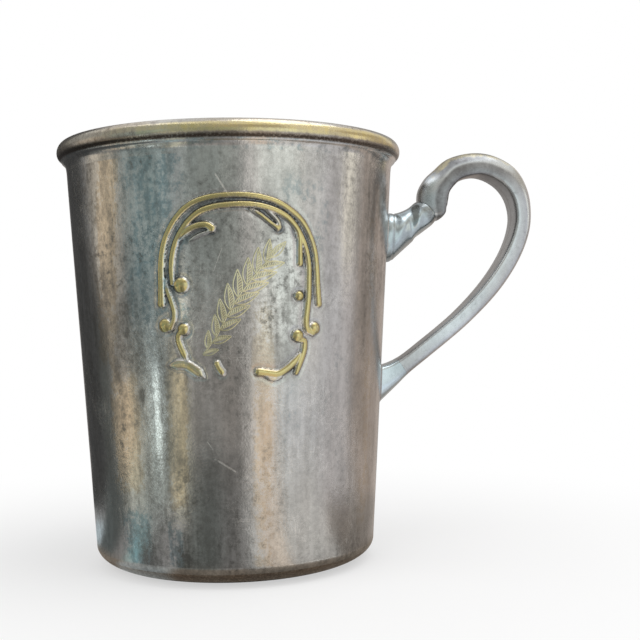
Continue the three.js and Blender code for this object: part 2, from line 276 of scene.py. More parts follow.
class FinishGroups:
    """Shader node groups that all finishes share."""

    # The dirt coat and its grime colour also paint shade wherever the dirt mark carries it.
    COATS = {"Rubbed share": "Rubbed", "Film share": "Film", "Clouding": "Tarnish",
             "Wear": "Brass", "Dirt and shade": "Grime and shade"}

    def __init__(self) -> None:
        """Build each group once."""
        self.mottle = self.tarnish_mottle()
        self.scratches = self.fine_scratches()
        self.scratch = self.single_scratch()
        self.patina = self.plate_patina()

    @staticmethod
    def tarnish_mottle() -> Tree:
        """Clouds, specks and grain of old tarnish.

        Returns:
            The node group.
        """
        net, given = new_group("tarnish_mottle", "ShaderNodeTree", {
            "Vector": ORIGIN, "Size": 60.0, "Tall": 0.45})
        vector, size = given["Vector"], given["Size"]
        tall = net.vector("MULTIPLY", vector, net.combine(1.0, 1.0, given["Tall"]))
        blotches = net.noise(tall, size * 4.5, 5.0, 0.72)
        fine = net.noise(vector, size * 13.0, 4.0, 0.7)
        where = net.stretch(net.noise(tall, size * 1.7), 0.42, 0.62)
        brushed = net.noise(net.vector("MULTIPLY", vector, (1.0, 1.0, 0.05)), 620.0)
        return net.give(
            Clouds=net.stretch(net.noise(tall, size, 4.0, 0.6), 0.32, 0.68),
            Blotches=net.stretch(blotches * 0.45 + brushed * 0.3 + fine * 0.45, 0.46, 0.74),
            Specks=net.stretch(fine, 0.55, 0.66) * where,
            Grain=net.stretch(net.noise(vector, size * 38.0, 2.0, 0.6), 0.3, 0.7),
            Ragged=blotches + fine - 1.0)

    @staticmethod
    def fine_scratches() -> Tree:
        """Long hairlines along one direction, broken up in patches.

        Returns:
            The node group.
        """
        net, given = new_group("fine_scratches", "ShaderNodeTree", {
            "Vector": ORIGIN, "Turn": ORIGIN, "Spacing": 900.0, "Length": 26.0,
            "Patches": 70.0, "Cover": 0.5})
        turned = net.out("ShaderNodeVectorRotate", {
            "Vector": given["Vector"], "Rotation": given["Turn"]}, rotation_type="EULER_XYZ")
        scale = net.combine(given["Spacing"], given["Spacing"], given["Length"])
        wave = net.noise(net.vector("MULTIPLY", turned, scale), 1.0, 1.0) - 0.5
        hair = net.stretch(net.maths("ABSOLUTE", wave), 0.0, 0.018, 1.0, 0.0)
        patches = net.noise(given["Vector"], given["Patches"], 2.0)
        where = net.clamp((patches - (0.85 - given["Cover"] * 0.6)) * 8.0)
        return net.give(Lines=hair * where)

    @staticmethod
    def single_scratch() -> Tree:
        """One straight scratch between two places on the unrolled wall.

        Returns:
            The node group.
        """
        net, given = new_group("single_scratch", "ShaderNodeTree", {
            "Vector": ORIGIN, "From": ORIGIN, "To": (0.0, 0.0, 0.01), "Width": 0.0001})
        offset = net.vector("SUBTRACT", given["Vector"], given["From"])
        step = net.vector("SUBTRACT", given["To"], given["From"])
        share = net.clamp(net.measure("DOT_PRODUCT", offset, step)
                          / net.measure("DOT_PRODUCT", step, step))
        away = net.measure("DISTANCE", offset, net.scaled(step, share))
        broken = net.stretch(net.noise(given["Vector"], 900.0, 2.0), 0.3, 0.5)
        return net.give(Line=net.clamp(1.0 - away / given["Width"]) * broken)

    @classmethod
    def plate_patina(cls) -> Tree:
        """Silver plate that wears to brass and tarnishes to grey and brown; its dirt coat also
        paints shade.

        Returns:
            The node group.
        """
        net, given = new_group("plate_patina", "ShaderNodeTree", {
            "Plate": GREY, **dict.fromkeys(cls.COATS.values(), GREY),
            **dict.fromkeys(cls.COATS, 0.0), "Bright roughness": 0.25, "Dull roughness": 0.45})
        colour = given["Plate"]
        for share, coat in cls.COATS.items():
            colour = net.blend(given[share], colour, given[coat])
        dull = net.largest([given["Clouding"], given["Dirt and shade"]]) * (1.0 - given["Wear"] * 0.2)
        bright = given["Bright roughness"]
        rough = net.clamp(dull) * (given["Dull roughness"] - bright) + bright
        return net.give(Color=colour, Roughness=rough)


@dataclass(frozen=True)
class Scratch:
    """A long scratch on the wall, by bearings in degrees from the front and heights."""

    start_bearing: float
    start_height: float
    end_bearing: float
    end_height: float
    width: float = 0.16


@dataclass(frozen=True)
class PlateFinish:
    """Old silver plate over brass, worn and tarnished by its place on the mug, and with painted
    shade and highlights from its marks.
    """

    name: str
    slot: Slot
    plate: Colour
    tarnish: Colour
    warm: Colour
    rubbed: Colour = (0.64, 0.565, 0.46)
    film: Colour = (0.37, 0.47, 0.5)
    brass: Colour = (0.57, 0.49, 0.26)
    grime_and_shade: Colour = (0.09, 0.1, 0.11)
    bright_roughness: float = 0.16
    dull_roughness: float = 0.34
    even_share: float = 0.3
    cloud_share: float = 0.4
    blotch_share: float = 0.3
    speck_share: float = 0.4
    grain_share: float = 0.2
    streak_share: float = 0.5
    mottle_size: float = 60.0
    mottle_tall: float = 0.45
    scratch_share: float = 0.5
    scratch_haze: float = 0.4
    # Share of the shade mark, which carries tarnish patches and painted shade.
    shade_share: float = 0.6
    ragged: float = 2.4
    bump: float = 0.1
    long_scratches: tuple[Scratch, ...] = ()
    scratch_radius: float = 34.0
    hairline_sets: tuple[tuple[Colour, float, float], ...] = (
        ((0.08, 0.03, 0.0), 1500.0, 0.62), ((0.0, 1.5, 0.1), 1400.0, 0.6),
        ((0.5, 0.6, 0.2), 1100.0, 0.5), ((-0.3, -0.75, 0.4), 1300.0, 0.42))

    def material(self, groups: FinishGroups) -> bpy.types.Material:
        """Build the finish.

        Args:
            groups: the shared node groups.

        Returns:
            The material.
        """
        made = bpy.data.materials.new(self.name)
        net = Net(made)
        place = net.outs("ShaderNodeTexCoord")["Object"]
        marks = {mark: net.outs("ShaderNodeAttribute", attribute_name=mark.value)["Fac"]
                 for mark in Mark}
        mottle = net.group(groups.mottle, {
            "Vector": place, "Size": self.mottle_size, "Tall": self.mottle_tall})
        lines = self.hairlines(net, groups, place)
        streak = net.noise(net.vector("MULTIPLY", place, (1.0, 1.0, 0.07)), 95.0)
        grainy = net.stretch(mottle["Grain"], 0.0, 0.6, 0.6, 1.0)
        patina = net.group(groups.patina, {
            "Plate": net.blend(net.stretch(streak, 0.36, 0.66) * self.streak_share,
                               self.plate, self.warm),
            "Tarnish": self.tarnish, "Rubbed": self.rubbed, "Film": self.film,
            "Brass": self.brass, "Grime and shade": self.grime_and_shade,
            "Clouding": net.clamp(self.clouding(mottle, marks) - lines * 0.4),
            "Rubbed share": self.patch(net, marks[Mark.RUBBED], mottle),
            "Film share": self.patch(net, marks[Mark.FILM], mottle),
            "Wear": net.clamp(marks[Mark.WEAR] * 1.35 - mottle["Blotches"] * 0.55),
            "Dirt and shade": net.clamp(marks[Mark.DIRT] * grainy),
            "Bright roughness": self.bright_roughness, "Dull roughness": self.dull_roughness})
        relief = mottle["Grain"] - lines * 0.5 - mottle["Specks"] * 0.6
        bump = net.out("ShaderNodeBump", {
            "Strength": self.bump, "Distance": 0.0001, "Height": relief})
        rough = net.clamp(lines * self.scratch_haze + patina["Roughness"])
        shader = net.out("ShaderNodeBsdfPrincipled", {
            "Base Color": patina["Color"], "Roughness": rough, "Metallic": 1.0, "Normal": bump})
        net.add("ShaderNodeOutputMaterial", {0: shader})
        return made

    def clouding(self, mottle: dict[str, Value], marks: dict[Mark, Value]) -> Value:
        """How far the plate is tarnished, from clouds down to single specks, with the painted shade
        and painted highlights of the shade mark.

        Args:
            mottle: the outputs of the mottle group.
            marks: the marks of the piece.

        Returns:
            The share of tarnish, not yet held between 0 and 1.
        """
        even = self.even_share - 0.5 * self.cloud_share
        broad = marks[Mark.SHADE] * self.shade_share + even + mottle["Clouds"] * self.cloud_share
        fine = mottle["Blotches"] * self.blotch_share + mottle["Specks"] * self.speck_share \
            + mottle["Grain"] * self.grain_share - 0.5 * (self.blotch_share + self.grain_share)
        return fine * (1.0 - marks[Mark.CALM] * 0.8) + broad

    def patch(self, net: Net, mark: Value, mottle: dict[str, Value]) -> Value:
        """Give a marked patch a ragged edge."""
        return net.stretch(mottle["Ragged"] * self.ragged + mark, 0.3, 0.8) * net.stretch(
            mark, 0.0, 0.5)

    def hairlines(self, net: Net, groups: FinishGroups, place: Value) -> Value:
        """Scratches in four directions, and the long ones on the unrolled wall.

        Args:
            net: the net of the material.
            groups: the shared node groups.
            place: the coordinates that the scratches are drawn on.

        Returns:
            The mask of the scratches.
        """
        total = net.largest([net.group(groups.scratches, {
            "Vector": place, "Turn": turn, "Spacing": spacing, "Cover": cover})["Lines"]
            for turn, spacing, cover in self.hairline_sets]) * self.scratch_share
        if not self.long_scratches:
            return total
        parts, radius = net.split(place), self.scratch_radius * MM
        turn = net.maths("ARCTAN2", parts["X"], parts["Y"] * -1.0)
        unrolled = net.combine(turn * radius, 0.0, parts["Z"])
        return net.largest([total] + [net.group(groups.scratch, {
            "Vector": unrolled, "Width": line.width * MM,
            "From": (math.radians(line.start_bearing) * radius, 0.0, line.start_height * MM),
            "To": (math.radians(line.end_bearing) * radius, 0.0, line.end_height * MM)})["Line"]
            for line in self.long_scratches])


@dataclass(frozen=True)
class MugFinishes:
    """The finishes of the whole mug."""

    WALL_TONES = {
        "plate": (0.56, 0.56, 0.545), "tarnish": (0.17, 0.165, 0.155), "warm": (0.54, 0.49, 0.45),
        "even_share": 0.4, "cloud_share": 0.28, "blotch_share": 0.62, "speck_share": 0.22,
        "grain_share": 0.12}
    SMOOTH_PLATE = {
        "rubbed": (0.4, 0.3, 0.25), "cloud_share": 0.2, "speck_share": 0.12,
        "grain_share": 0.06, "mottle_tall": 1.0, "bump": 0.0}
    wall: PlateFinish = PlateFinish(
        "worn_wall_plate", Slot.WALL, **WALL_TONES, brass=(0.47, 0.405, 0.19),
        bright_roughness=0.13, dull_roughness=0.27, scratch_share=0.6,
        long_scratches=tuple(Scratch(*row) for row in (
            (-8.2, 85.4, -4.0, 81.0, 0.24), (-10.4, 27.4, -3.6, 24.8, 0.26),
            (-9.4, 66.0, -6.6, 70.6, 0.1), (10.0, 38.6, 14.0, 38.0, 0.12),
            (-13.0, 31.0, -11.2, 29.4, 0.14), (27.0, 74.0, 23.5, 69.0, 0.1),
            (121.0, 70.0, 128.0, 60.0), (-130.0, 40.0, -121.0, 47.0),
            (176.0, 25.0, 168.0, 33.0))))
    base: PlateFinish = PlateFinish(
        "dull_base_plate", Slot.BASE, (0.42, 0.39, 0.35), (0.13, 0.11, 0.095),
        (0.38, 0.29, 0.22), grime_and_shade=(0.05, 0.04, 0.033), dull_roughness=0.45,
        blotch_share=0.45, grain_share=0.3, even_share=0.4)
    # The rim's grime colour also paints the shade under its bead.
    rim: PlateFinish = PlateFinish(
        "rubbed_rim_brass", Slot.RIM, (0.56, 0.55, 0.52), (0.22, 0.19, 0.16),
        (0.5, 0.43, 0.33), grime_and_shade=(0.07, 0.055, 0.045), mottle_tall=1.0, blotch_share=0.4,
        streak_share=0.7)
    seam: PlateFinish = PlateFinish("plated_rim_seam", Slot.SOLDER, **WALL_TONES)
    bow: PlateFinish = PlateFinish(
        "handle_silver_plate", Slot.BOW, (0.57, 0.61, 0.64), (0.15, 0.15, 0.155),
        (0.55, 0.53, 0.5), **SMOOTH_PLATE, grime_and_shade=(0.1, 0.08, 0.07), even_share=0.14,
        blotch_share=0.14, streak_share=0.4, scratch_share=0.12, shade_share=0.95,
        ragged=0.06, bright_roughness=0.25)
    casting: PlateFinish = PlateFinish(
        "casting_silver_plate", Slot.CASTING, (0.53, 0.61, 0.65), (0.16, 0.19, 0.2),
        (0.5, 0.54, 0.56), **SMOOTH_PLATE, grime_and_shade=(0.12, 0.11, 0.1), even_share=0.16,
        blotch_share=0.16, streak_share=0.2, scratch_share=0.1, shade_share=0.9, ragged=0.1,
        bright_roughness=0.17)
    solder: PlateFinish = PlateFinish(
        "dull_solder", Slot.SOLDER, (0.45, 0.46, 0.47), (0.26, 0.26, 0.26),
        (0.42, 0.41, 0.39), bright_roughness=0.26, dull_roughness=0.45, mottle_tall=1.0,
        scratch_share=0.1)
    engraving: PlateFinish = PlateFinish(
        "bright_cut_brass", Slot.WALL, (0.6, 0.58, 0.42), (0.34, 0.31, 0.18),
        (0.58, 0.53, 0.33), dull_roughness=0.3, even_share=0.25, speck_share=0.1,
        mottle_tall=1.0, scratch_share=0.0)


def link_object(name: str, data: Any) -> Piece:
    """Put an object with its data into the scene.

    Args:
        name: the object's name.
        data: its mesh, lamp or camera.

    Returns:
        The object.
    """
    made = bpy.data.objects.new(name, data)
    bpy.context.scene.collection.objects.link(made)
    return made


def new_solid(name: str, corners: np.ndarray, faces: list[list[int]],
              edges: list[Place] = ()) -> Piece:
    """Make an object from corners in millimetres.

    Args:
        name: the object's name.
        corners: an array of points.
        faces: the corner numbers of each face.
        edges: the corner numbers of each loose edge.

    Returns:
        The object, linked into the scene.
    """
    mesh = bpy.data.meshes.new(name)
    mesh.from_pydata((np.asarray(corners) * MM).tolist(), edges, faces)
    mesh.update()
    return link_object(name, mesh)


def corner_array(mesh: bpy.types.Mesh) -> np.ndarray:
    """Read the corners of a mesh.

    Args:
        mesh: the mesh.

    Returns:
        An array of points in millimetres.
    """
    corners = np.empty(len(mesh.vertices) * 3)
    mesh.vertices.foreach_get("co", corners)
    return corners.reshape(-1, 3) / MM


def set_mark(made: Piece, mark: Mark | str, values: np.ndarray) -> None:
    """Store one number for each corner of a piece.

    Args:
        made: the piece.
        mark: the mark, or an attribute's name.
        values: the numbers in the order of the corners.
    """
    name, layers = getattr(mark, "value", mark), made.data.attributes
    layer = layers.get(name) or layers.new(name, "FLOAT", "POINT")
    layer.data.foreach_set("value", np.ascontiguousarray(values, dtype=np.float32))


class Bench:
    """Dresses the pieces and ties them to the frame."""

    def __init__(self) -> None:
        """Start with the shared groups and no material."""
        self.groups = FinishGroups()
        self.finishes = MugFinishes()
        self.ready: dict[str, bpy.types.Material] = {}

    def material(self, finish: PlateFinish) -> bpy.types.Material:
        """Return a finish's material, made the first time it is asked for.

        Args:
            finish: the finish.

        Returns:
            The material.
        """
        if finish.name not in self.ready:
            self.ready[finish.name] = finish.material(self.groups)
        return self.ready[finish.name]

    @staticmethod
    def face_outwards(mesh: bpy.types.Mesh) -> None:
        """Turn a closed mesh so that its faces point outwards.

        Args:
            mesh: the mesh.
        """
        mesh.calc_loop_triangles()
        triangles = np.empty(len(mesh.loop_triangles) * 3, dtype=np.int64)
        mesh.loop_triangles.foreach_get("vertices", triangles)
        a, b, c = np.moveaxis(corner_array(mesh)[triangles.reshape(-1, 3)], 1, 0)
        if np.einsum("ij,ij->i", a, np.cross(b, c)).sum() < 0:
            mesh.flip_normals()

    @staticmethod
    def apply_nodes(made: Piece, tree: Tree, values: dict[str, Any]) -> None:
        """Run a node tree on an object and keep its result as a plain mesh.

        Args:
            made: the object.
            tree: the geometry node tree.
            values: the tree's inputs by name.
        """
        modifier = made.modifiers.new(tree.name, "NODES")
        modifier.node_group = tree
        for item in tree.interface.items_tree:
            if item.in_out == "INPUT" and item.name in values:
                modifier[item.identifier] = values[item.name]
        graph = bpy.context.evaluated_depsgraph_get()
        result = bpy.data.meshes.new_from_object(
            made.evaluated_get(graph), preserve_all_data_layers=True, depsgraph=graph)
        made.modifiers.remove(modifier)
        made.data = result

    def complete(self, made: Piece, finish: PlateFinish, nodes: tuple[str, ...],
                 sharp: float = 40.0) -> None:
        """Dress a piece, tie it to the frame and report it.

        Args:
            made: the piece, with plain mesh data.
            finish: its finish.
            nodes: the CAD nodes that it stands for.
            sharp: angle in degrees past which an edge shows.
        """
        mesh = made.data
        self.face_outwards(mesh)
        mesh.shade_smooth()
        mesh.set_sharp_from_angle(angle=math.radians(sharp))
        for mark in Mark:
            if mark.value not in mesh.attributes:
                set_mark(made, mark, np.zeros(len(mesh.vertices)))
        mesh.materials.clear()
        mesh.materials.append(self.material(finish))
        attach(made, "root")
        if nodes:
            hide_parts(*nodes)
        LOG.info("%s: %d faces", made.name, len(mesh.polygons))


def smooth_step(values: np.ndarray, low: float, high: float) -> np.ndarray:
    """Ease values from 0 at low to 1 at high."""
    share = np.clip((values - low) / (high - low), 0, 1)
    return share * share * (3 - 2 * share)


def between(values: np.ndarray, low: float, high: float, soft: float) -> np.ndarray:
    """Return 1 between two values and 0 outside them, with soft edges."""
    return smooth_step(values, low - soft, low + soft) * (
        1 - smooth_step(values, high - soft, high + soft))


def hill(values: np.ndarray, middle: float, reach: float) -> np.ndarray:
    """Return a bell curve of height 1."""
    return np.exp(-((values - middle) / reach) ** 2)


def catmull_rom(points: np.ndarray, steps: int) -> tuple[np.ndarray, np.ndarray]:
    """Centripetal Catmull-Rom curve through points.

    Args:
        points: an array of points.
        steps: samples for each stretch between two points.

    Returns:
        The samples and their parameters from 0 to the number of stretches.
    """
    padded = np.vstack([2 * points[0] - points[1], points, 2 * points[-1] - points[-2]])
    samples, times = [], []
    for i in range(len(points) - 1):
        p0, p1, p2, p3 = padded[i:i + 4]
        d0, d1, d2 = (math.sqrt(np.linalg.norm(b - a)) for a, b in ((p0, p1), (p1, p2), (p2, p3)))
        t1 = ((p1 - p0) / d0 - (p2 - p0) / (d0 + d1) + (p2 - p1) / d1) * d1
        t2 = ((p2 - p1) / d1 - (p3 - p1) / (d1 + d2) + (p3 - p2) / d2) * d1
        w = np.linspace(0, 1, steps, endpoint=False)[:, None]
        samples.append(p1 + t1 * w + (3 * (p2 - p1) - 2 * t1 - t2) * w ** 2
                       + (2 * (p1 - p2) + t1 + t2) * w ** 3)
        times.append(i + w[:, 0])
    return np.vstack([*samples, points[-1]]), np.append(np.concatenate(times), len(points) - 1.0)


def strip_faces(rows: int, columns: int, joined: bool = False) -> np.ndarray:
    """Four sided faces between closed rows of corners, in the order of the corners.

    Args:
        rows: the number of rows.
        columns: the number of corners in a row.
        joined: whether the last row also joins the first.

    Returns:
        An array of corner numbers.
    """
    row, column = np.meshgrid(np.arange(rows - 1 + joined), np.arange(columns), indexing="ij")
    above, beside = (row + 1) % rows, (column + 1) % columns
    return np.stack([row * columns + column, row * columns + beside, above * columns + beside,
                     above * columns + column], axis=-1).reshape(-1, 4)


def loft(rings: np.ndarray) -> tuple[np.ndarray, list[list[int]]]:
    """Join closed rings into a solid with an end at each side.

    Args:
        rings: an array of rings, each with the same number of points.

    Returns:
        The corners and the faces.
    """
    count, sides = rings.shape[:2]
    corners = np.vstack([rings.reshape(-1, 3), rings[0].mean(axis=0), rings[-1].mean(axis=0)])
    faces = strip_faces(count, sides).tolist()
    first, end = count * sides, (count - 1) * sides
    for i in range(sides):
        after = (i + 1) % sides
        faces += [[first, after, i], [first + 1, end + i, end + after]]
    return corners, faces


@dataclass(frozen=True)
class CupForm:
    """Sizes of the cup that its pieces share."""

    total_height: float = 96.6
    mouth_radius: float = 40.0
    foot_radius: float = 32.42
    top_radius: float = 37.84
    seam_height: float = 4.6
    rim_foot: float = 90.4
    lip_height: float = 95.2
    widest_height: float = 94.4
    crest_radius: float = 38.2
    wall: float = 0.9
    gap: float = 0.25

    @property
    def slope(self) -> float:
        """How much the wall's radius grows for each millimetre up."""
        return (self.top_radius - self.foot_radius) / (self.rim_foot - self.seam_height)

    def radius(self, height: Any) -> Any:
        """Outside radius of the wall at a height or an array of heights."""
        return self.foot_radius + self.slope * (height - self.seam_height)

    def liner(self, height: float) -> float:
        """Radius of the pieces that fit inside the wall."""
        return self.radius(height) - self.wall - self.gap

    def off_wall(self, points: np.ndarray) -> np.ndarray:
        """Distance of points from the wall."""
        return np.hypot(points[..., 0], points[..., 1]) - self.radius(points[..., 2])


@dataclass(frozen=True)
class Scroll:
    """One band of the cartouche, in millimetres from the cartouche's middle."""

    route: tuple[Place, ...]
    width: float = 1.5
    start: float = 1.0
    end: float = 1.0
    height: float = 1.0


SCROLLS = (
    Scroll(((-17.2, -3.6), (-17.1, 0.0), (-17.1, 3.6), (-16.8, 6.6), (-16.1, 9.5), (-15.1, 11.6),
            (-13.8, 13.6), (-12.1, 15.4), (-10.0, 16.8), (-7.5, 17.7), (-4.2, 18.2), (-0.4, 18.3),
            (3.0, 18.0), (5.7, 17.4), (8.0, 16.5), (10.1, 15.2), (12.3, 13.4), (13.8, 11.3),
            (14.9, 9.0), (15.6, 6.6), (16.0, 3.2), (16.2, -0.5), (16.5, -4.0)), 1.4, 1.3, 1.3),
    Scroll(((-14.6, 0.6), (-14.8, 3.4), (-14.6, 5.8), (-14.2, 7.6), (-13.5, 9.5), (-12.3, 11.5),
            (-10.8, 13.3), (-8.6, 15.0), (-5.9, 15.9), (-2.9, 16.3), (0.6, 16.4), (4.0, 16.0),
            (6.7, 15.2), (8.9, 14.1), (10.7, 12.5), (12.0, 10.6), (13.0, 8.6), (13.7, 6.4),
            (14.1, 3.8), (14.1, 1.0), (14.0, -2.2), (13.7, -5.0), (13.4, -7.4), (13.7, -9.3),
            (14.9, -10.0)), 1.5, 0.9, 1.2),
    Scroll(((11.2, 12.1), (12.0, 9.8), (12.1, 7.0), (12.1, 4.4)), 1.4, 0.6, 1.1),
    Scroll(((-12.9, 9.6), (-11.6, 11.0), (-10.2, 11.8), (-8.6, 12.3), (-7.2, 12.2),
            (-6.2, 11.5)), 1.6, 0.6, 1.1),
    Scroll(((-6.4, 11.1), (-7.8, 10.6), (-9.2, 10.1), (-10.9, 9.2)), 0.8, 1.3, 0.5, 0.8),
    Scroll(((1.6, 15.4), (3.6, 14.3), (5.4, 12.9), (7.3, 11.5)), 1.1, 0.5, 1.3),
    Scroll(((7.6, 11.7), (7.4, 12.8), (6.2, 14.2), (4.6, 15.5)), 1.0, 1.3, 0.6, 0.9),
    Scroll(((-16.1, 1.6), (-15.8, -0.6), (-14.9, -3.2), (-14.4, -5.2), (-14.5, -7.0),
            (-15.2, -8.6)), 1.25, 0.4, 1.2),
    Scroll(((-12.2, -9.4), (-13.1, -9.6), (-13.5, -10.6), (-13.2, -12.0), (-12.5, -13.6),
            (-11.8, -15.2)), 1.5, 1.0, 0.55),
    Scroll(((-15.4, -16.2), (-13.9, -16.0), (-12.0, -16.1), (-10.4, -17.0), (-8.2, -18.7)),
           2.3, 0.35, 0.25, 0.9),
    Scroll(((-5.6, -15.9), (-5.2, -16.8), (-4.1, -18.3)), 1.5, 1.0, 0.2, 0.8),
    Scroll(((11.7, -11.4), (12.8, -11.6), (12.9, -13.0), (12.4, -14.8), (11.7, -16.4),
            (11.0, -18.2)), 1.7, 0.8, 0.75),
    Scroll(((2.9, -17.8), (4.9, -18.1), (6.9, -18.3), (8.9, -17.3), (10.6, -15.9),
            (11.8, -14.4)), 1.8, 1.05, 0.6),
    Scroll(((4.4, -18.7), (6.0, -19.3), (7.6, -18.9)), 1.2, 0.7, 0.8, 0.8),
)
# Round knobs where scrolls end: place from the cartouche's middle, and radius.
KNOBS = (((-12.8, 0.2), 1.75), ((-16.3, -8.0), 1.6), ((-12.4, -8.8), 1.35),
         ((11.8, -2.3), 1.15), ((15.4, -9.1), 1.45), ((11.4, -10.6), 1.45))


@dataclass
class ScrollField:
    """Height, wear and grooves of the cartouche over the wall."""

    middle: float = 63.0
    relief: float = 0.62
    knob_relief: float = 0.95
    groove_depth: float = 0.1
    groove_place: float = 0.2
    groove_reach: float = 0.38
    groove_limit: float = 1.6
    roundness: float = 0.85
    beside_reach: float = 0.7
    cover_lift: float = 0.25
    route_steps: int = 8
    full_width: float = 0.75
    width_shares: tuple[float, ...] = (0.0, 0.22, 0.78, 1.0)

    def scroll_reach(self, scroll: Scroll, spots: np.ndarray) -> tuple[np.ndarray, np.ndarray]:
        """Distance of spots from a scroll.

        Args:
            scroll: the scroll.
            spots: places in millimetres from the cartouche's middle.

        Returns:
            The distance as a share of the scroll's half width, and that half width.
        """
        route = catmull_rom(np.array(scroll.route), self.route_steps)[0]
        steps = np.diff(route, axis=0)
        lengths = np.linalg.norm(steps, axis=1)
        before = np.concatenate([[0.0], np.cumsum(lengths)])
        best, width = np.full(len(spots), np.inf), np.ones(len(spots))
        shares = (scroll.start, 1.0, 1.0, scroll.end)
        for start, step, length, past in zip(route, steps, lengths, before):
            along = np.clip((spots - start) @ step / length ** 2, 0, 1)
            away = np.linalg.norm(spots - start - along[:, None] * step, axis=1)
            local = np.interp((past + along * length) / before[-1], self.width_shares, shares)
            local = local * scroll.width / 2
            closer = away / local < best
            best[closer] = (away / local)[closer]
            width[closer] = local[closer]
        return best, width

    def over(self, spots: np.ndarray) -> tuple[np.ndarray, np.ndarray, np.ndarray]:
        """Relief over the wall.

        Args:
            spots: places in millimetres from the cartouche's middle.

        Returns:
            The lift in millimetres, the wear from 0 to 1 and the dirt from 0 to 1.
        """
        across, up = spots.T
        lift, groove, beside, nearest = np.zeros((4, len(spots)))
        forms = [(*self.scroll_reach(scroll, spots), self.relief * scroll.height)
                 for scroll in SCROLLS]
        for place, radius in KNOBS:
            away = np.linalg.norm(spots - np.array(place), axis=1)
            forms.append((away / radius, np.full(len(spots), radius), self.knob_relief))
        for share, width, height in forms:
            size = np.minimum(1.0, width / self.full_width) * height
            lift = np.maximum(lift, size * np.clip(1 - share ** 2, 0, 1) ** self.roundness)
            outside = (share - 1) * width
            groove += hill(outside, self.groove_place, self.groove_reach)
            close = hill(np.maximum(outside, 0), 0.0, self.beside_reach)
            beside += close
            nearest = np.maximum(nearest, close)
        groove = np.clip(groove, 0, self.groove_limit)
        neighbour = np.clip(beside - nearest, 0, 1)
        leaf = smooth_step(-up, 14.6, 15.4) * smooth_step(-across, 6.5, 8.0)
        flank = neighbour * (1 - smooth_step(lift, 0.3, 0.55))
        wear = smooth_step(lift, 0.16, 0.46) * (1 - 0.8 * flank) * (1 - 0.35 * leaf)
        hollow = neighbour * smooth_step(up, -6.0, -2.0)
        left = hill(across, -13.2, 0.55) * smooth_step(up, 0.0, 3.0) * (
            1 - smooth_step(up, 8.0, 12.0))
        dirt = np.clip(hollow * 0.8 + groove * 0.16 + left * 0.6, 0, 0.9) * (
            1 - smooth_step(lift, 0.02, 0.2))
        cover = np.clip(lift / self.cover_lift, 0, 1)
        return lift - groove * self.groove_depth * (1 - cover), wear, dirt


@dataclass(frozen=True)
class Patch:
    """A patch by bearings in degrees and heights in millimetres, with soft edges."""

    left: float
    right: float
    low: float
    high: float

    def cover(self, bearing: np.ndarray, height: np.ndarray, soft: float, tall: float,
              lean: float = 0.0) -> np.ndarray:
        """How strongly the patch shows.

        Args:
            bearing: the bearings of the places.
            height: their heights.
            soft: half the width of its soft sides, in degrees.
            tall: half the height of its soft ends.
            lean: degrees that it moves sideways for each millimetre up.

        Returns:
            A number from 0 to 1 for each place.
        """
        middle, half = (self.left + self.right) / 2, (self.right - self.left) / 2
        away = np.abs((bearing - middle - lean * (height - self.low) + 180) % 360 - 180)
        return (1 - smooth_step(away, half - soft, half + soft)) * between(
            height, self.low, self.high, tall)


@dataclass(frozen=True)
class StainAndSheen(Patch):
    """A patch on the wall, by bearings from the front."""

    share: float = 1.0
    lean: float = 0.0

    def over(self, bearing: np.ndarray, height: np.ndarray) -> np.ndarray:
        """How strongly the stain shows at places on the wall."""
        soft, tall = min(2.0, (self.right - self.left) / 2), min(3.0, (self.high - self.low) / 2)
        return self.share * self.cover(bearing, height, soft, tall, self.lean)


# Left, right, low, high, share and lean of each patch. The patches are partly real tarnish, rubbing
# and film, and partly painted reflections of the room's tones that the wall mirrors; shade entries
# below zero lighten the plate.
STAINS_AND_SHEENS = {mark: tuple(StainAndSheen(*row) for row in rows) for mark, rows in {
    Mark.RUBBED: (
        (-59.5, -48.5, 47, 100, 0.9, 0.176), (-53, -38.5, 20, 45, 0.95),
        (-28, -20.5, 17, 46, 0.95, 0.03), (2.5, 10.5, 0, 60, 0.6), (50, 64, 8, 86, 0.4),
        (100, 121, 15, 62, 0.7, 0.1), (-168, -150, 24, 90, 0.6, -0.08)),
    Mark.FILM: (
        (-50, -36, 2, 16, 0.8), (-29.5, -22, 2, 15, 0.6), (-42, -17, 54, 100, 0.45),
        (11, 21, 29, 45, 0.22), (28, 44, 20, 50, 0.15), (12, 30, 66, 86, 0.3),
        (128, 152, 30, 100, 0.32), (-134, -112, 4, 52, 0.4)),
    Mark.SHADE: (
        (-45, -35, 46, 62, 0.35), (-24, -1, 2, 28, 0.55), (-42, -32, 2, 13, 0.5),
        (-31, -20, 2, 12, 0.35), (-29, -25, 26, 52, 0.4), (-9, -1, 44, 58, 0.3),
        # (-32.2, -30) below is a painted highlight, a bright streak; (-21, -18.6) is a painted
        # highlight beside the cartouche's left band.
        (-38.2, -36, 39, 42, 1.5), (-32.2, -30, 28, 45, -1.0), (-48, -41, 20, 30, -0.35),
        (-50, -43, 6, 14, 0.4), (-21, -18.6, 57, 61, -0.8), (-48, -46, 16, 48, 0.35),
        (-60.5, -55, 78, 100, 0.3), (-55, -48, 68, 92, -0.3), (-43, -36, 68, 84, 0.25),
        (58, 67, 8, 46, 0.25), (16, 62, 2, 10, 0.3), (-62, -54, 47, 100, 0.5, 0.1),
        (-14, -8, 66, 84, 0.3), (10, 19, 44, 53, 0.5), (48, 52, 48, 90, 0.4),
        (60, 78, 60, 100, 0.4), (140, 168, 2, 48, 0.5), (-118, -92, 40, 100, 0.4)),
    Mark.CALM: (
        (0, 14, 2, 52, 0.45), (14, 78, 2, 62, 0.65), (0, 50, 62, 92, 0.4),
        (-22, 0, 2, 40, 0.45), (-60, -52, 2, 60, 0.6), (5, 21, 52, 74, -0.8),
        (-32, -16, 4, 24, -0.6), (92, 128, 2, 100, 0.7), (-160, -120, 20, 80, 0.6)),
}.items()}


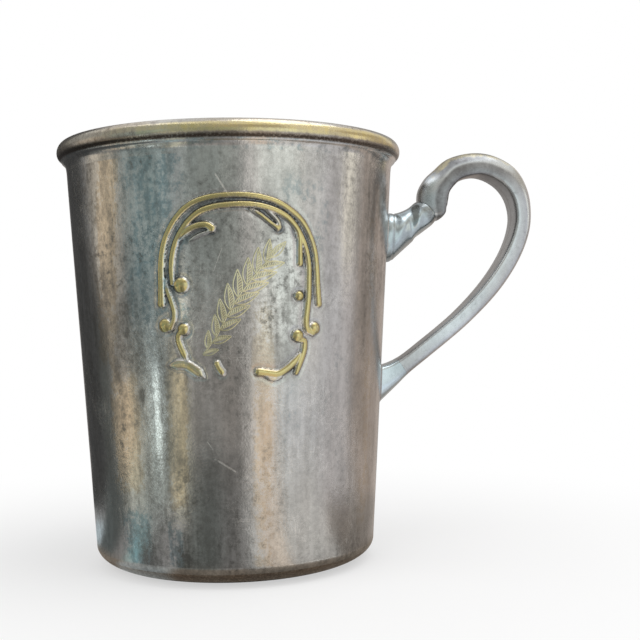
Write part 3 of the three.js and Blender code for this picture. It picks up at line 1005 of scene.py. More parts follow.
@dataclass
class CupWall:
    """Tapered wall with the cartouche raised on its front."""

    form: CupForm
    scrolls: ScrollField = field(default_factory=ScrollField)
    fine_step: float = 0.2
    coarse_step: float = 2.0
    inner_step: float = 0.75
    fine_reach: float = 18.6
    fine_low: float = 42.8
    fine_high: float = 83.2
    step_growth: float = 0.22
    margin: float = 2.0
    near_height: float = 23.0
    inner_relief: float = 0.6
    polish_and_sheen: float = 0.55
    foot_darkening: float = 0.12
    darkening_height: float = 3.5
    dent: float = 0.16
    dent_size: float = 38.0
    seed: float = 3.0

    def spread(self, low: float, high: float, fine_low: float, fine_high: float,
               fine: float) -> np.ndarray:
        """Places along a line, close together in a middle stretch and wider outside it.

        Args:
            low: first place.
            high: last place.
            fine_low: where the close stretch starts.
            fine_high: where it ends.
            fine: the step in it.

        Returns:
            The places in order.
        """
        places = [low]
        while places[-1] < high:
            here = places[-1]
            away = max(fine_low - here, here - fine_high, 0.0)
            step = min(self.coarse_step, fine + self.step_growth * away)
            if here < fine_low:
                step = min(step, max(fine, (fine_low - here) * 0.5))
            places.append(here + step)
        return low + (np.array(places) - low) * (high - low) / (places[-1] - low)

    def build(self, bench: Bench) -> None:
        """Make the wall.

        Args:
            bench: the bench that completes it.
        """
        form = self.form
        scale = form.radius(self.scrolls.middle)
        right = self.spread(0.0, math.pi * scale, 0.0, self.fine_reach, self.fine_step)
        columns = np.concatenate([-right[:0:-1], right[:-1]]) / scale
        outer, inner = (self.spread(form.seam_height, form.lip_height, self.fine_low,
                                    self.fine_high, fine)
                        for fine in (self.fine_step, self.inner_step))
        heights = np.concatenate([outer, inner[::-1]])
        depth = np.repeat([0.0, form.wall], [len(outer), len(inner)])
        turn, height = (part.ravel() for part in np.meshgrid(columns, heights, indexing="ij"))
        radius = form.radius(height)
        lift, wear, dirt = self.field_over(
            np.column_stack([turn * radius, height - self.scrolls.middle]))
        inside = np.tile(depth > 0, len(columns))
        lift[inside] = np.clip(lift[inside], 0, 1) * self.inner_relief
        wear[inside] = dirt[inside] = 0.0
        radius = radius - np.tile(depth, len(columns))
        corners = np.column_stack([np.sin(turn) * radius, -np.cos(turn) * radius, height])
        faces = strip_faces(len(columns), len(heights), joined=True)[:, (0, 3, 2, 1)]
        made = new_solid("cup_wall", corners, faces.tolist())
        # Scroll flanks lightened: partly plate kept bright by rubbing, partly a painted highlight.
        polish_and_sheen = self.polish_and_sheen * smooth_step(lift, 0.03, 0.14) * (1 - wear)
        for mark, stains_and_sheens in STAINS_AND_SHEENS.items():
            total = -polish_and_sheen if mark is Mark.SHADE else np.zeros(len(turn))
            for wall_patch in stains_and_sheens:
                total += wall_patch.over(np.degrees(turn), height)
            set_mark(made, mark, np.where(inside, -0.5 if mark is Mark.SHADE else 0.0, total))
        set_mark(made, "scroll_lift", lift * MM)
        set_mark(made, Mark.WEAR, wear)
        # Darker towards the seam at the bottom of the wall.
        low = self.foot_darkening * (1 - smooth_step(
            height, form.seam_height, form.seam_height + self.darkening_height))
        set_mark(made, Mark.DIRT, np.maximum(dirt, low))
        finish = bench.finishes.wall
        bench.apply_nodes(made, self.raise_tree(), {
            "Lift": 1.0, "Dent": self.dent * MM, "Dent size": self.dent_size,
            "Seed": self.seed, "Finish": bench.material(finish)})
        bench.complete(made, finish, ("body_sleeve",))

    def field_over(self, spots: np.ndarray) -> tuple[np.ndarray, ...]:
        """Work out the cartouche's field near it, and leave it empty elsewhere.

        Args:
            spots: places in millimetres from the cartouche's middle.

        Returns:
            The lift, the wear and the dirt.
        """
        near = (np.abs(spots) < (self.fine_reach + self.margin, self.near_height)).all(axis=1)
        fields = tuple(np.zeros((3, len(spots))))
        for whole, part in zip(fields, self.scrolls.over(spots[near])):
            whole[near] = part
        return fields

    @staticmethod
    def raise_tree() -> Tree:
        """Tree that lifts the scrolls off the wall and gives the sheet its shallow dents.

        Returns:
            The tree.
        """
        net, given = new_group("raised_scrolls", "GeometryNodeTree", {
            "Geometry": GEOMETRY, "Lift": 1.0, "Dent": 0.0001, "Dent size": 40.0, "Seed": 0.0,
            "Finish": MATERIAL})
        lift = net.out("GeometryNodeInputNamedAttribute", {"Name": "scroll_lift"},
                       data_type="FLOAT")
        place = net.out("GeometryNodeInputPosition")
        outward = net.vector("NORMALIZE", net.vector("MULTIPLY", place, (1.0, 1.0, 0.0)))
        spot = net.vector("ADD", net.vector("MULTIPLY", place, (1.0, 1.0, 0.4)),
                          net.combine(z=given["Seed"]))
        height = net.split(place)["Z"]
        window = net.stretch(height, 0.0046, 0.016) * net.stretch(height, 0.082, 0.092, 1.0, 0.0)
        dent = (net.noise(spot, given["Dent size"], 1.5) - 0.5) * given["Dent"] * window
        moved = net.out("GeometryNodeSetPosition", {
            0: given["Geometry"], "Offset": net.scaled(outward, lift * given["Lift"] + dent)})
        return net.dressed(moved, given["Finish"])


def turned_tree() -> Tree:
    """Tree that turns a profile about the Z axis.

    Returns:
        The tree. Its profile is a mesh of points, with the radius in X and the height in Z.
    """
    net, given = new_group("turned_piece", "GeometryNodeTree", {
        "Profile": GEOMETRY, "Points": 8, "Columns": 180, "Wobble": 0.0, "Seed": 0.0,
        "Finish": MATERIAL})
    points, columns = given["Points"], given["Columns"]
    grid = net.out("GeometryNodeMeshGrid", {"Vertices X": columns + 1, "Vertices Y": points})
    index = net.out("GeometryNodeInputIndex")
    column = net.maths("FLOOR", (index + 0.5) / points)
    parts = net.split(net.out("GeometryNodeSampleIndex", {
        0: given["Profile"], 1: net.out("GeometryNodeInputPosition"),
        2: index - column * points}, data_type="FLOAT_VECTOR", domain="POINT"))
    angle = column / columns * math.tau
    across, deep = net.maths("COSINE", angle), net.maths("SINE", angle)
    sway = net.noise(net.combine(across, deep, given["Seed"]), 2.0, 1.0) - 0.5
    share = parts["X"] * (sway * given["Wobble"] + 1.0)
    turned = net.out("GeometryNodeSetPosition", {
        0: grid, 2: net.combine(share * across, share * deep, parts["Z"])})
    merged = net.out("GeometryNodeMergeByDistance", {0: turned, "Distance": 1e-6})
    return net.dressed(merged, given["Finish"])


def quarter(middle: Place, reach: float, rise: float, start: float, end: float,
            steps: int = 14) -> list[Place]:
    """Points of an ellipse between two angles.

    Args:
        middle: its middle, as radius and height.
        reach: its half width.
        rise: its half height.
        start: first angle, in quarter turns.
        end: last angle, in quarter turns.
        steps: number of steps.

    Returns:
        The points in order.
    """
    angles = np.linspace(start, end, steps + 1) * math.pi / 2
    return [(middle[0] + reach * math.cos(a), middle[1] + rise * math.sin(a)) for a in angles]


@dataclass
class CupTrim:
    """The turned pieces of the cup: base, rim moulding and the solder that holds them."""

    form: CupForm
    corner_reach: float = 8.0
    pan: float = 0.9
    flange: float = 3.0
    fillet: float = 0.8
    toe_width: float = 0.04
    rim_fillet: float = 0.6
    ridge: float = 0.12
    ridge_height: float = 92.35
    bead_foot: float = 92.66
    base_line: float = 3.2
    base_columns: int = 240
    rim_columns: int = 360
    wobble: float = 0.002
    seed: float = 0.0

    def base_profile(self) -> list[Place]:
        """Profile of the base pan with its rounded corner and inner flange.

        Returns:
            The points, as radius and height.
        """
        form, seam = self.form, self.form.seam_height
        flat, top, lap = form.foot_radius - self.corner_reach, seam + self.flange, form.liner(seam)
        return [
            (0.0, 0.25), (flat * 0.5, 0.22), (flat * 0.86, 0.12), (flat * 0.95, 0.0),
            *quarter((flat, seam), self.corner_reach, seam, -1, 0, 28),
            (lap, seam), (form.liner(top), top), (form.liner(top) - self.pan, top),
            *quarter((flat, seam), lap - self.pan - flat, seam - self.pan, 0, -1, 20),
            (flat * 0.5, self.pan + 0.2), (0.0, self.pan + 0.25)]

    def inner_fillet_profile(self) -> list[Place]:
        """Profile of the solder on the flange inside the cup.

        Returns:
            The points, as radius and height.
        """
        low, size = self.form.seam_height + self.flange, self.fillet
        outer, high = self.form.liner(low), low + self.fillet
        return [(outer, low), (self.form.liner(high), high),
                *quarter((outer - size, high), size, size, 0, -1), (outer, low)]

    def rim_profile(self) -> list[Place]:
        """Profile of the moulding: lip, bead and the ogee down to its toe.

        Returns:
            The points, as radius and height.
        """
        form, start, widest = self.form, self.form.lip_height, self.form.widest_height
        inner, root = form.radius(start) - form.wall, form.radius(form.rim_foot)
        toe, rise, crest = root + self.toe_width, widest - form.rim_foot, form.crest_radius
        share = np.linspace(0, 1, 22)[1:, None]
        corners = np.array([(form.mouth_radius, widest),
                            (form.mouth_radius, widest - 0.48 * rise),
                            (toe + 0.42 * rise * form.slope, form.rim_foot + 0.58 * rise),
                            (toe, form.rim_foot)])
        weights = np.hstack([(1 - share) ** 3, 3 * share * (1 - share) ** 2,
                             3 * share ** 2 * (1 - share), share ** 3])
        return [
            *quarter((crest, start), crest - inner, form.total_height - start, 2, 1),
            *quarter((crest, widest), form.mouth_radius - crest, form.total_height - widest,
                     1, 0, 20)[1:],
            *self.ridged(weights @ corners), (root + 0.01, form.rim_foot),
            (form.radius(start) + form.gap, start), (inner, start)]

    def ridged(self, points: np.ndarray) -> list[Place]:
        """Raise the fine ridge on the ogee, where it catches the light.

        Args:
            points: the plain ogee, from its top down.

        Returns:
            The points of the ridged ogee.
        """
        height = np.linspace(points[0, 1], points[-1, 1], 60)
        radius = np.interp(-height, -points[:, 1], points[:, 0])
        radius += self.ridge * hill(height, self.ridge_height, 0.2)
        radius -= 0.7 * self.ridge * hill(height, self.ridge_height + 0.55, 0.3)
        return list(zip(radius, height))

    def rim_fillet_profile(self) -> list[Place]:
        """Profile of the fine fillet of solder under the moulding.

        Returns:
            The points, as radius and height.
        """
        top, low = self.form.rim_foot, self.form.rim_foot - self.rim_fillet
        curve = [(self.form.radius(height) + self.toe_width * (1 - share) ** 1.5, height)
                 for share in np.linspace(0, 1, 6)[1:-1]
                 for height in (top - self.rim_fillet * share,)]
        return [(self.form.radius(top) - 0.01, top),
                (self.form.radius(top) + self.toe_width, top), *curve,
                (self.form.radius(low) + 0.004, low), (self.form.radius(low) - 0.01, low)]

    def build(self, bench: Bench) -> None:
        """Turn the four pieces, mark their wear and complete them.

        Args:
            bench: the bench that completes them.
        """
        tree, finishes = turned_tree(), bench.finishes
        for name, node, profile, finish, columns, wobble, sharp in (
                ("base_shell", "base_pan", self.base_profile(), finishes.base,
                 self.base_columns, 0.0, 40.0),
                ("inner_fillet", "base_solder", self.inner_fillet_profile(), finishes.solder,
                 self.base_columns, 0.0, 40.0),
                ("rim_ring", "rim_moulding", self.rim_profile(), finishes.rim,
                 self.rim_columns, self.wobble, 50.0),
                ("rim_fillet", "rim_solder", self.rim_fillet_profile(), finishes.seam,
                 self.rim_columns, 0.0, 40.0)):
            made = new_solid(name, [(radius, 0.0, height) for radius, height in profile], [])
            bench.apply_nodes(made, tree, {
                "Points": len(profile), "Columns": columns, "Wobble": wobble,
                "Seed": self.seed, "Finish": bench.material(finish)})
            self.mark(made)
            bench.complete(made, finish, (node,), sharp)
            if name in ("rim_ring", "base_shell"):
                self.dress_flare(made.data, bench.material(finishes.wall))

    def dress_flare(self, mesh: bpy.types.Mesh, material: bpy.types.Material) -> None:
        """Give the outer faces next to the wall the finish of the wall.

        Args:
            mesh: the moulding or the base.
            material: the wall's material.
        """
        mesh.materials.append(material)
        for face in mesh.polygons:
            middle = face.center / MM
            beside = self.base_line < middle.z < self.bead_foot
            if beside and face.normal.xy.dot(middle.xy) > 0:
                face.material_index = 1

    def mark(self, made: Piece) -> None:
        """Mark where a turned piece is rubbed to brass and where it darkens, and paint the shade
        under the rim's bead and the highlight on its ridge.

        Args:
            made: the piece.
        """
        x, y, height = corner_array(made.data).T
        radius, turn = np.hypot(x, y), np.degrees(np.arctan2(x, -y))
        if made.name == "rim_ring":
            outer = smooth_step(radius, 38.3, 38.9)
            band = smooth_step(height, 93.3, 94.1) * (1 - smooth_step(height, 95.4, 96.1))
            front = smooth_step(turn, -42.0, -14.0) * (1 - smooth_step(turn, 54.0, 70.0))
            back = 0.7 * smooth_step(np.abs(turn), 95.0, 120.0)
            above = smooth_step(height, 92.6, 92.8)
            # Painted shade: a brown-dark band on the lower half of the bead, and darker sides to
            # the left and right.
            brown = above * (1 - smooth_step(height, 93.4, 94.8))
            sides = np.maximum(1 - smooth_step(turn, -62.0, -44.0), smooth_step(turn, 56.0, 70.0))
            # Painted highlight: the fine ridge's light line is lightened and smoothed.
            line = hill(height, self.ridge_height, 0.35)
            dark = np.maximum(brown * 0.7, sides * above * 0.5) * outer - 0.6 * line
            # The dirt mark below is a painted shade line under the bead.
            for mark, values in (
                    (Mark.WEAR, band * outer * (0.14 + 0.66 * (front + back))),
                    (Mark.DIRT, hill(height, 93.0, 0.45) * outer * 1.2), (Mark.SHADE, dark),
                    (Mark.CALM, line * 0.8), (Mark.FILM, (1 - above) * 0.3)):
                set_mark(made, mark, values)
        if made.name == "base_shell":
            # Darker towards the bottom of the base and on its underside.
            under = 1 - smooth_step(height, 1.4, 4.6)
            set_mark(made, Mark.DIRT, (0.12 + 0.68 * under) * (radius > 22.0))


# Rows of the two bars, from the wall outwards, as Bar explains them.
BOW_ROWS = (
    (-0.018, 0.004, 1.5, 0.94, 0.7), (0.061, 0.046, 1.04, 0.84, 0.7),
    (0.165, 0.119, 0.73, 0.7, 0.7), (0.297, 0.227, 0.69, 0.68, 0.7),
    (0.545, 0.447, 0.69, 0.74, 0.7), (0.738, 0.673, 0.73, 0.82, 0.68),
    (0.853, 0.874, 0.74, 0.88, 0.66), (0.904, 1.034, 0.75, 0.92, 0.62),
    (0.912, 1.157, 0.76, 0.95, 0.55), (0.88, 1.297, 0.86, 1.0, 0.45),
    (0.805, 1.411, 0.99, 1.0, 0.36), (0.686, 1.483, 0.98, 1.0, 0.3),
    (0.575, 1.501, 0.96, 1.0, 0.32), (0.441, 1.466, 0.98, 1.0, 0.3),
    (0.375, 1.406, 0.98, 1.0, 0.26), (0.329, 1.345, 1.1, 0.97, 0.18),
    (0.31, 1.282, 1.19, 0.95, 0.0), (0.313, 1.213, 1.09, 0.92, -0.25),
    (0.325, 1.165, 0.86, 0.87, -0.35), (0.334, 1.115, 0.6, 0.8, -0.35))
BRACKET_ROWS = (
    (-0.077, 1.0, 0.97, 1.0, 0.9), (0.012, 1.011, 0.945, 1.0, 0.9),
    (0.048, 1.024, 0.9, 1.0, 0.9), (0.094, 1.051, 0.75, 0.94, 0.9),
    (0.144, 1.085, 0.585, 0.86, 0.9), (0.204, 1.124, 0.535, 0.84, 0.9),
    (0.259, 1.172, 0.535, 0.84, 0.9), (0.298, 1.215, 0.42, 0.74, 0.9))


@dataclass
class Bar:
    """A bar that follows a curve in the plane of the handle.

    Rows are out, up, thickness and depth, as shares of the reach, the span and the bar's own
    thickness and depth, and then how far out on its side the outer bevel starts.
    """

    form: CupForm
    rows: tuple[tuple[float, ...], ...]
    thickness: float
    depth: float
    power: float
    inner_edge: float
    lower_seat: float = 40.0
    span: float = 35.0
    reach: float = 37.1
    sides: int = 96
    face_edge: float = 0.5
    spine_steps: int = 60
    search_start: float = -6.0
    search_steps: int = 400

    def __post_init__(self) -> None:
        """Work out close samples of the spine and of the sizes."""
        rows = np.array(self.rows)
        height = self.lower_seat + rows[:, 1] * self.span
        self.samples, self.times = catmull_rom(np.column_stack([
            self.form.radius(height) + rows[:, 0] * self.reach, np.zeros(len(rows)), height]),
            self.spine_steps)
        steps = np.linalg.norm(np.diff(self.samples, axis=0), axis=1)
        self.distances = np.concatenate([[0.0], np.cumsum(steps)])
        self.slopes = np.gradient(self.samples, self.distances, axis=0)
        self.sizes = self.spline(
            rows[:, 2:] * (self.thickness / 2, self.depth / 2, 1.0), self.times)
        self.length = float(self.distances[-1])

    @staticmethod
    def spline(rows: np.ndarray, times: np.ndarray) -> np.ndarray:
        """Plain Catmull-Rom spline of rows of numbers.

        Args:
            rows: the rows.
            times: where it is wanted, in row numbers.

        Returns:
            A row for each time.
        """
        index = np.minimum(times.astype(int), len(rows) - 2)
        w = (times - index)[:, None]
        p0, p1, p2 = rows[np.maximum(index - 1, 0)], rows[index], rows[index + 1]
        p3 = rows[np.minimum(index + 2, len(rows) - 1)]
        v0, v1 = (p2 - p0) / 2, (p3 - p1) / 2
        return (2 * p1 - 2 * p2 + v0 + v1) * w ** 3 + (3 * p2 - 3 * p1 - 2 * v0 - v1) * w ** 2 \
            + v0 * w + p1

    def at(self, distance: np.ndarray) -> tuple[np.ndarray, np.ndarray, np.ndarray]:
        """Find places along the spine, which runs straight on before its start.

        Args:
            distance: the distances along it.

        Returns:
            The centres, the outward directions and the sizes.
        """
        centre, along, sizes = (
            np.column_stack([np.interp(distance, self.distances, column) for column in table.T])
            for table in (self.samples, self.slopes, self.sizes))
        along /= np.linalg.norm(along, axis=1)[:, None]
        centre = centre + along * np.minimum(distance, 0)[:, None]
        return centre, np.column_stack([along[:, 2], 0 * along[:, 1], -along[:, 0]]), sizes

    def outline(self, edge: np.ndarray) -> np.ndarray:
        """Sections of the bar inside a unit box: squares with softened bevels.

        Args:
            edge: for each section, how far out on its side the outer bevel starts.

        Returns:
            An array of sections.
        """
        angles = np.linspace(0, math.tau, self.sides, endpoint=False)
        out, side = np.cos(angles), np.abs(np.sin(angles))
        total = np.abs(out) ** self.power + side ** self.power \
            + self.bevel(edge[:, None], out, side) + self.bevel(self.inner_edge, -out, side)
        size = total ** (-1 / self.power)
        section = np.stack([np.cos(angles) * size, np.sin(angles) * size], axis=-1)
        return section / np.abs(section).max(axis=1, keepdims=True)

    def bevel(self, edge: Any, out: np.ndarray, side: np.ndarray) -> np.ndarray:
        """The term that cuts a bevel off a section's corners."""
        deep = (1 - edge) / (1 - edge * self.face_edge)
        return np.maximum((1 - self.face_edge * deep) * out + deep * side, 0) ** self.power

    def rings(self, distance: np.ndarray, growth: float = 0.0, scale: Any = 1.0) -> np.ndarray:
        """Rings of the bar at distances along it.

        Args:
            distance: the distances.
            growth: how far the bar is grown.
            scale: how each ring is scaled.

        Returns:
            An array of rings.
        """
        centre, outward, sizes = self.at(distance)
        size = sizes[:, :2] * np.reshape(scale, (-1, 1)) + growth
        section = self.outline(sizes[:, 2])
        across = section[:, :, 0, None] * size[:, None, :1] * outward[:, None, :]
        deep = np.array((0.0, 1.0, 0.0)) * section[:, :, 1, None] * size[:, None, 1:]
        return centre[:, None, :] + across + deep

    def ring_on_wall(self, lift: float, growth: float = 0.0, far: float = 9.0) -> np.ndarray:
        """Ring where the grown bar stands a given distance off the wall.

        Args:
            lift: distance off the wall.
            growth: how far the bar is grown.
            far: how far along the spine to look.

        Returns:
            The ring.
        """
        rings = self.rings(np.linspace(self.search_start, far, self.search_steps), growth)
        off = self.form.off_wall(rings) - lift
        index, side = np.maximum(np.argmax(off > 0, axis=0), 1), np.arange(self.sides)
        before, after = off[index - 1, side], off[index, side]
        share = np.clip(-before / np.maximum(after - before, 1e-9), 0, 1)[:, None]
        return rings[index - 1, side] * (1 - share) + rings[index, side] * share


@dataclass
class ScrollHandle:
    """The hollow scroll handle with the castings and solder that hold it."""

    form: CupForm
    foot_length: float = 7.4
    seam: float = 0.01
    tip_round: float = 2.0
    bracket_round: float = 1.2
    flange: float = 1.75
    clear: float = 8.2
    step: float = 0.3
    round_steps: int = 15
    foot_rings: int = 24
    foot_start: float = 1.2
    # Painted shade towards the bow and painted highlight near the wall, on the lower foot.
    foot_shade: float = 0.42
    foot_shine: float = 0.14
    bracket_shade: float = 0.32
    # Distance off the wall and reach, level and spread, and height of each boss or hollow.
    bosses: tuple[tuple[float, ...], ...] = (
        (3.7, 1.2, 0.52, 0.26, 0.45), (6.0, 0.8, 0.55, 0.5, -0.35), (7.8, 0.8, 0.5, 0.25, 0.4))
    # Distance off the wall and growth of each ring of the solder.
    bead_steps: tuple[Place, ...] = (
        (-0.2, 0.5), (0.0, 0.45), (0.06, 0.36), (0.14, 0.26), (0.25, 0.17), (0.4, 0.1),
        (0.5, 0.04), (0.5, -0.3))

    def build(self, bench: Bench) -> None:
        """Build the five pieces of the handle.

        Args:
            bench: the bench that completes them.
        """
        bow = Bar(self.form, BOW_ROWS, thickness=6.4, depth=8.5, power=6.5, inner_edge=0.93)
        bracket = Bar(self.form, BRACKET_ROWS, thickness=12.6, depth=9.2, power=2.5,
                      inner_edge=0.9)
        self.make_bow(bow, bench)
        self.make_foot(bow, bench)
        self.make_bracket(bracket, bench)
        for side, bar in (("upper", bracket), ("lower", bow)):
            rings = np.array([bar.ring_on_wall(*step) for step in self.bead_steps])
            bench.complete(new_solid(f"{side}_solder_bead", *loft(rings)),
                           bench.finishes.solder, (f"{side}_solder",), 60.0)

    def round_end(self, start: float, end: float, length: float) -> tuple[np.ndarray, np.ndarray]:
        """Distances and scales of a bar that ends in a round.

        Args:
            start: where the bar starts.
            end: where its round tip ends.
            length: length of the round.

        Returns:
            The distances and the scale at each.
        """
        angles = np.linspace(0, 1, self.round_steps + 1)[:-1] * math.pi / 2
        distance = np.concatenate([np.arange(start, end - length, self.step),
                                   end - length + length * np.sin(angles)])
        into = np.clip(1 - (end - distance) / length, 0, 1)
        return distance, np.sqrt(1 - into ** 2)

    def make_bow(self, bow: Bar, bench: Bench) -> None:
        """Make the bow from the joint with its foot to the tip of the scroll.

        Args:
            bow: the bow's bar.
            bench: the bench that completes it.
        """
        distance, scale = self.round_end(self.foot_length + self.seam, bow.length, self.tip_round)
        made = new_solid("handle_bow", *loft(bow.rings(distance, scale=scale)))
        edge = bow.at(distance)[2][:, 2:]
        section = bow.outline(edge[:, 0])
        out, side = section[..., 0], np.abs(section[..., 1])
        row = np.interp(distance, bow.distances, bow.times)[:, None]
        seam = hill(side, 0.0, 0.05) * (out < 0)
        inner = smooth_step(-out, 0.9, 1.0)
        outer = smooth_step(out, 0.5, 0.95) * (1 - smooth_step(row, 9.5, 12.5))
        # Painted shade: the bar is darkened on its inner side and face, lightly on the lower
        # stretch and deeply on the arch and the scroll, so that the outer bevel stays light.
        limit = np.interp(row, (5.0, 7.0, 8.0, 9.0, 10.5, 13.0, 15.0, 19.0),
                          (1.5, 1.1, 0.6, 0.3, 0.16, 0.16, 0.06, 0.0))
        shade = (1 - smooth_step(out - limit, -0.15, 0.12)) * np.interp(
            row, (2.0, 3.5, 5.0, 6.0, 8.0, 9.0, 11.0, 13.0, 16.0, 19.0),
            (0.3, 0.1, 0.12, 0.14, 0.16, 0.32, 0.8, 0.85, 0.8, 0.75))
        scroll = smooth_step(row, 13.8, 15.2)
        bevel = smooth_step(out - edge, 0.25, 0.6) * scroll
        # Painted shade over the outer bevel of the arch's top, which tones down its highlight.
        top = smooth_step(out - edge, -0.2, 0.1) * smooth_step(row, 10.5, 12.0) * (1 - scroll) * 0.8
        worn = smooth_step(out, 0.4, 0.8) * smooth_step(row, 9.5, 11.0) * (1 - scroll) * 0.5
        for mark, values in ((Mark.RUBBED, np.maximum(inner, outer * 0.7)),
                             (Mark.DIRT, np.maximum(seam * 0.5, inner * 0.1)),
                             (Mark.SHADE, np.maximum(shade, np.maximum(bevel * 0.1, top))),
                             (Mark.WEAR, worn)):
            set_mark(made, mark, np.append(np.broadcast_to(values, out.shape), [0.0, 0.0]))
        bench.complete(made, bench.finishes.bow, ("handle_near_half", "handle_far_half"), 60.0)

    def make_foot(self, bow: Bar, bench: Bench) -> None:
        """Make the foot casting between the wall and the bow.

        Args:
            bow: the bow's bar.
            bench: the bench that completes it.
        """
        start, count = bow.ring_on_wall(0.05), self.foot_rings
        steady = bow.rings(np.linspace(self.foot_start, self.foot_length - self.seam, count))
        share = smooth_step(np.linspace(0, 1.7, count), 0.0, 1.0)[1:, None, None] ** 0.7
        rings = np.concatenate([start[None], start[None] * (1 - share) + steady[1:] * share])
        made = new_solid("lower_casting", *loft(rings))
        # Painted light: a painted highlight near the wall, fading into painted shade towards the
        # bow, where it meets the bow's painted shade.
        fade = np.repeat(np.linspace(0, 1, count) ** 2, bow.sides)
        shade = np.append(self.foot_shade * fade, [0.0, self.foot_shade])
        set_mark(made, Mark.SHADE, shade - self.foot_shine)
        bench.complete(made, bench.finishes.casting, ("lower_foot",), 50.0)

    def make_bracket(self, bracket: Bar, bench: Bench) -> None:
        """Make the baluster bracket with its flange and the neck that cups the scroll.

        Args:
            bracket: the bracket's bar.
            bench: the bench that completes it.
        """
        distance, scale = self.round_end(self.clear, bracket.length, self.bracket_round)
        rings = bracket.rings(distance, scale=scale)
        root = np.array([bracket.ring_on_wall(lift, growth) for lift, growth in (
            (0.05, 0.0), (0.2, 0.08), (0.45, 0.14), (self.flange - 0.5, 0.14),
            (self.flange - 0.2, 0.08), (self.flange, -0.02), (self.flange + 0.2, -0.1),
            (self.flange + 0.5, -0.1))])
        share = smooth_step(np.linspace(0, 1, 14)[1:-1], 0.0, 1.0)[:, None, None]
        cone = root[-1] * (1 - share) + rings[0] * share
        made = new_solid("upper_casting", *loft(self.bossed(np.concatenate([root, cone, rings]))))
        # Dirt in the flange's grooves, and painted shade where the neck meets the scroll.
        groove = np.concatenate([[0.5, 0.2, 0.0, 0.0, 0.0, 0.3, 0.4, 0.2], np.zeros(len(cone)),
                                 smooth_step(distance, 13.0, 14.2)])
        set_mark(made, Mark.DIRT, np.append(np.repeat(groove, bracket.sides) * 0.6, [0.0, 0.0]))
        set_mark(made, Mark.SHADE, np.full(len(made.data.vertices), self.bracket_shade))
        bench.complete(made, bench.finishes.casting, ("upper_bracket",), 50.0)

    def bossed(self, rings: np.ndarray) -> np.ndarray:
        """Raise the soft bosses on the sides of the bracket, and sink the hollow between them.

        Args:
            rings: the rings of the plain bracket.

        Returns:
            The rings with their sides moved.
        """
        off, height = self.form.off_wall(rings), rings[..., 2]
        low = height.min(axis=1, keepdims=True)
        level = (height - low) / (height.max(axis=1, keepdims=True) - low)
        moved = rings.copy()
        for place, reach, middle, spread, lift in self.bosses:
            moved[..., 1] += lift * hill(off, place, reach) * hill(level, middle, spread) \
                * np.tanh(rings[..., 1] / 1.2)
        return moved


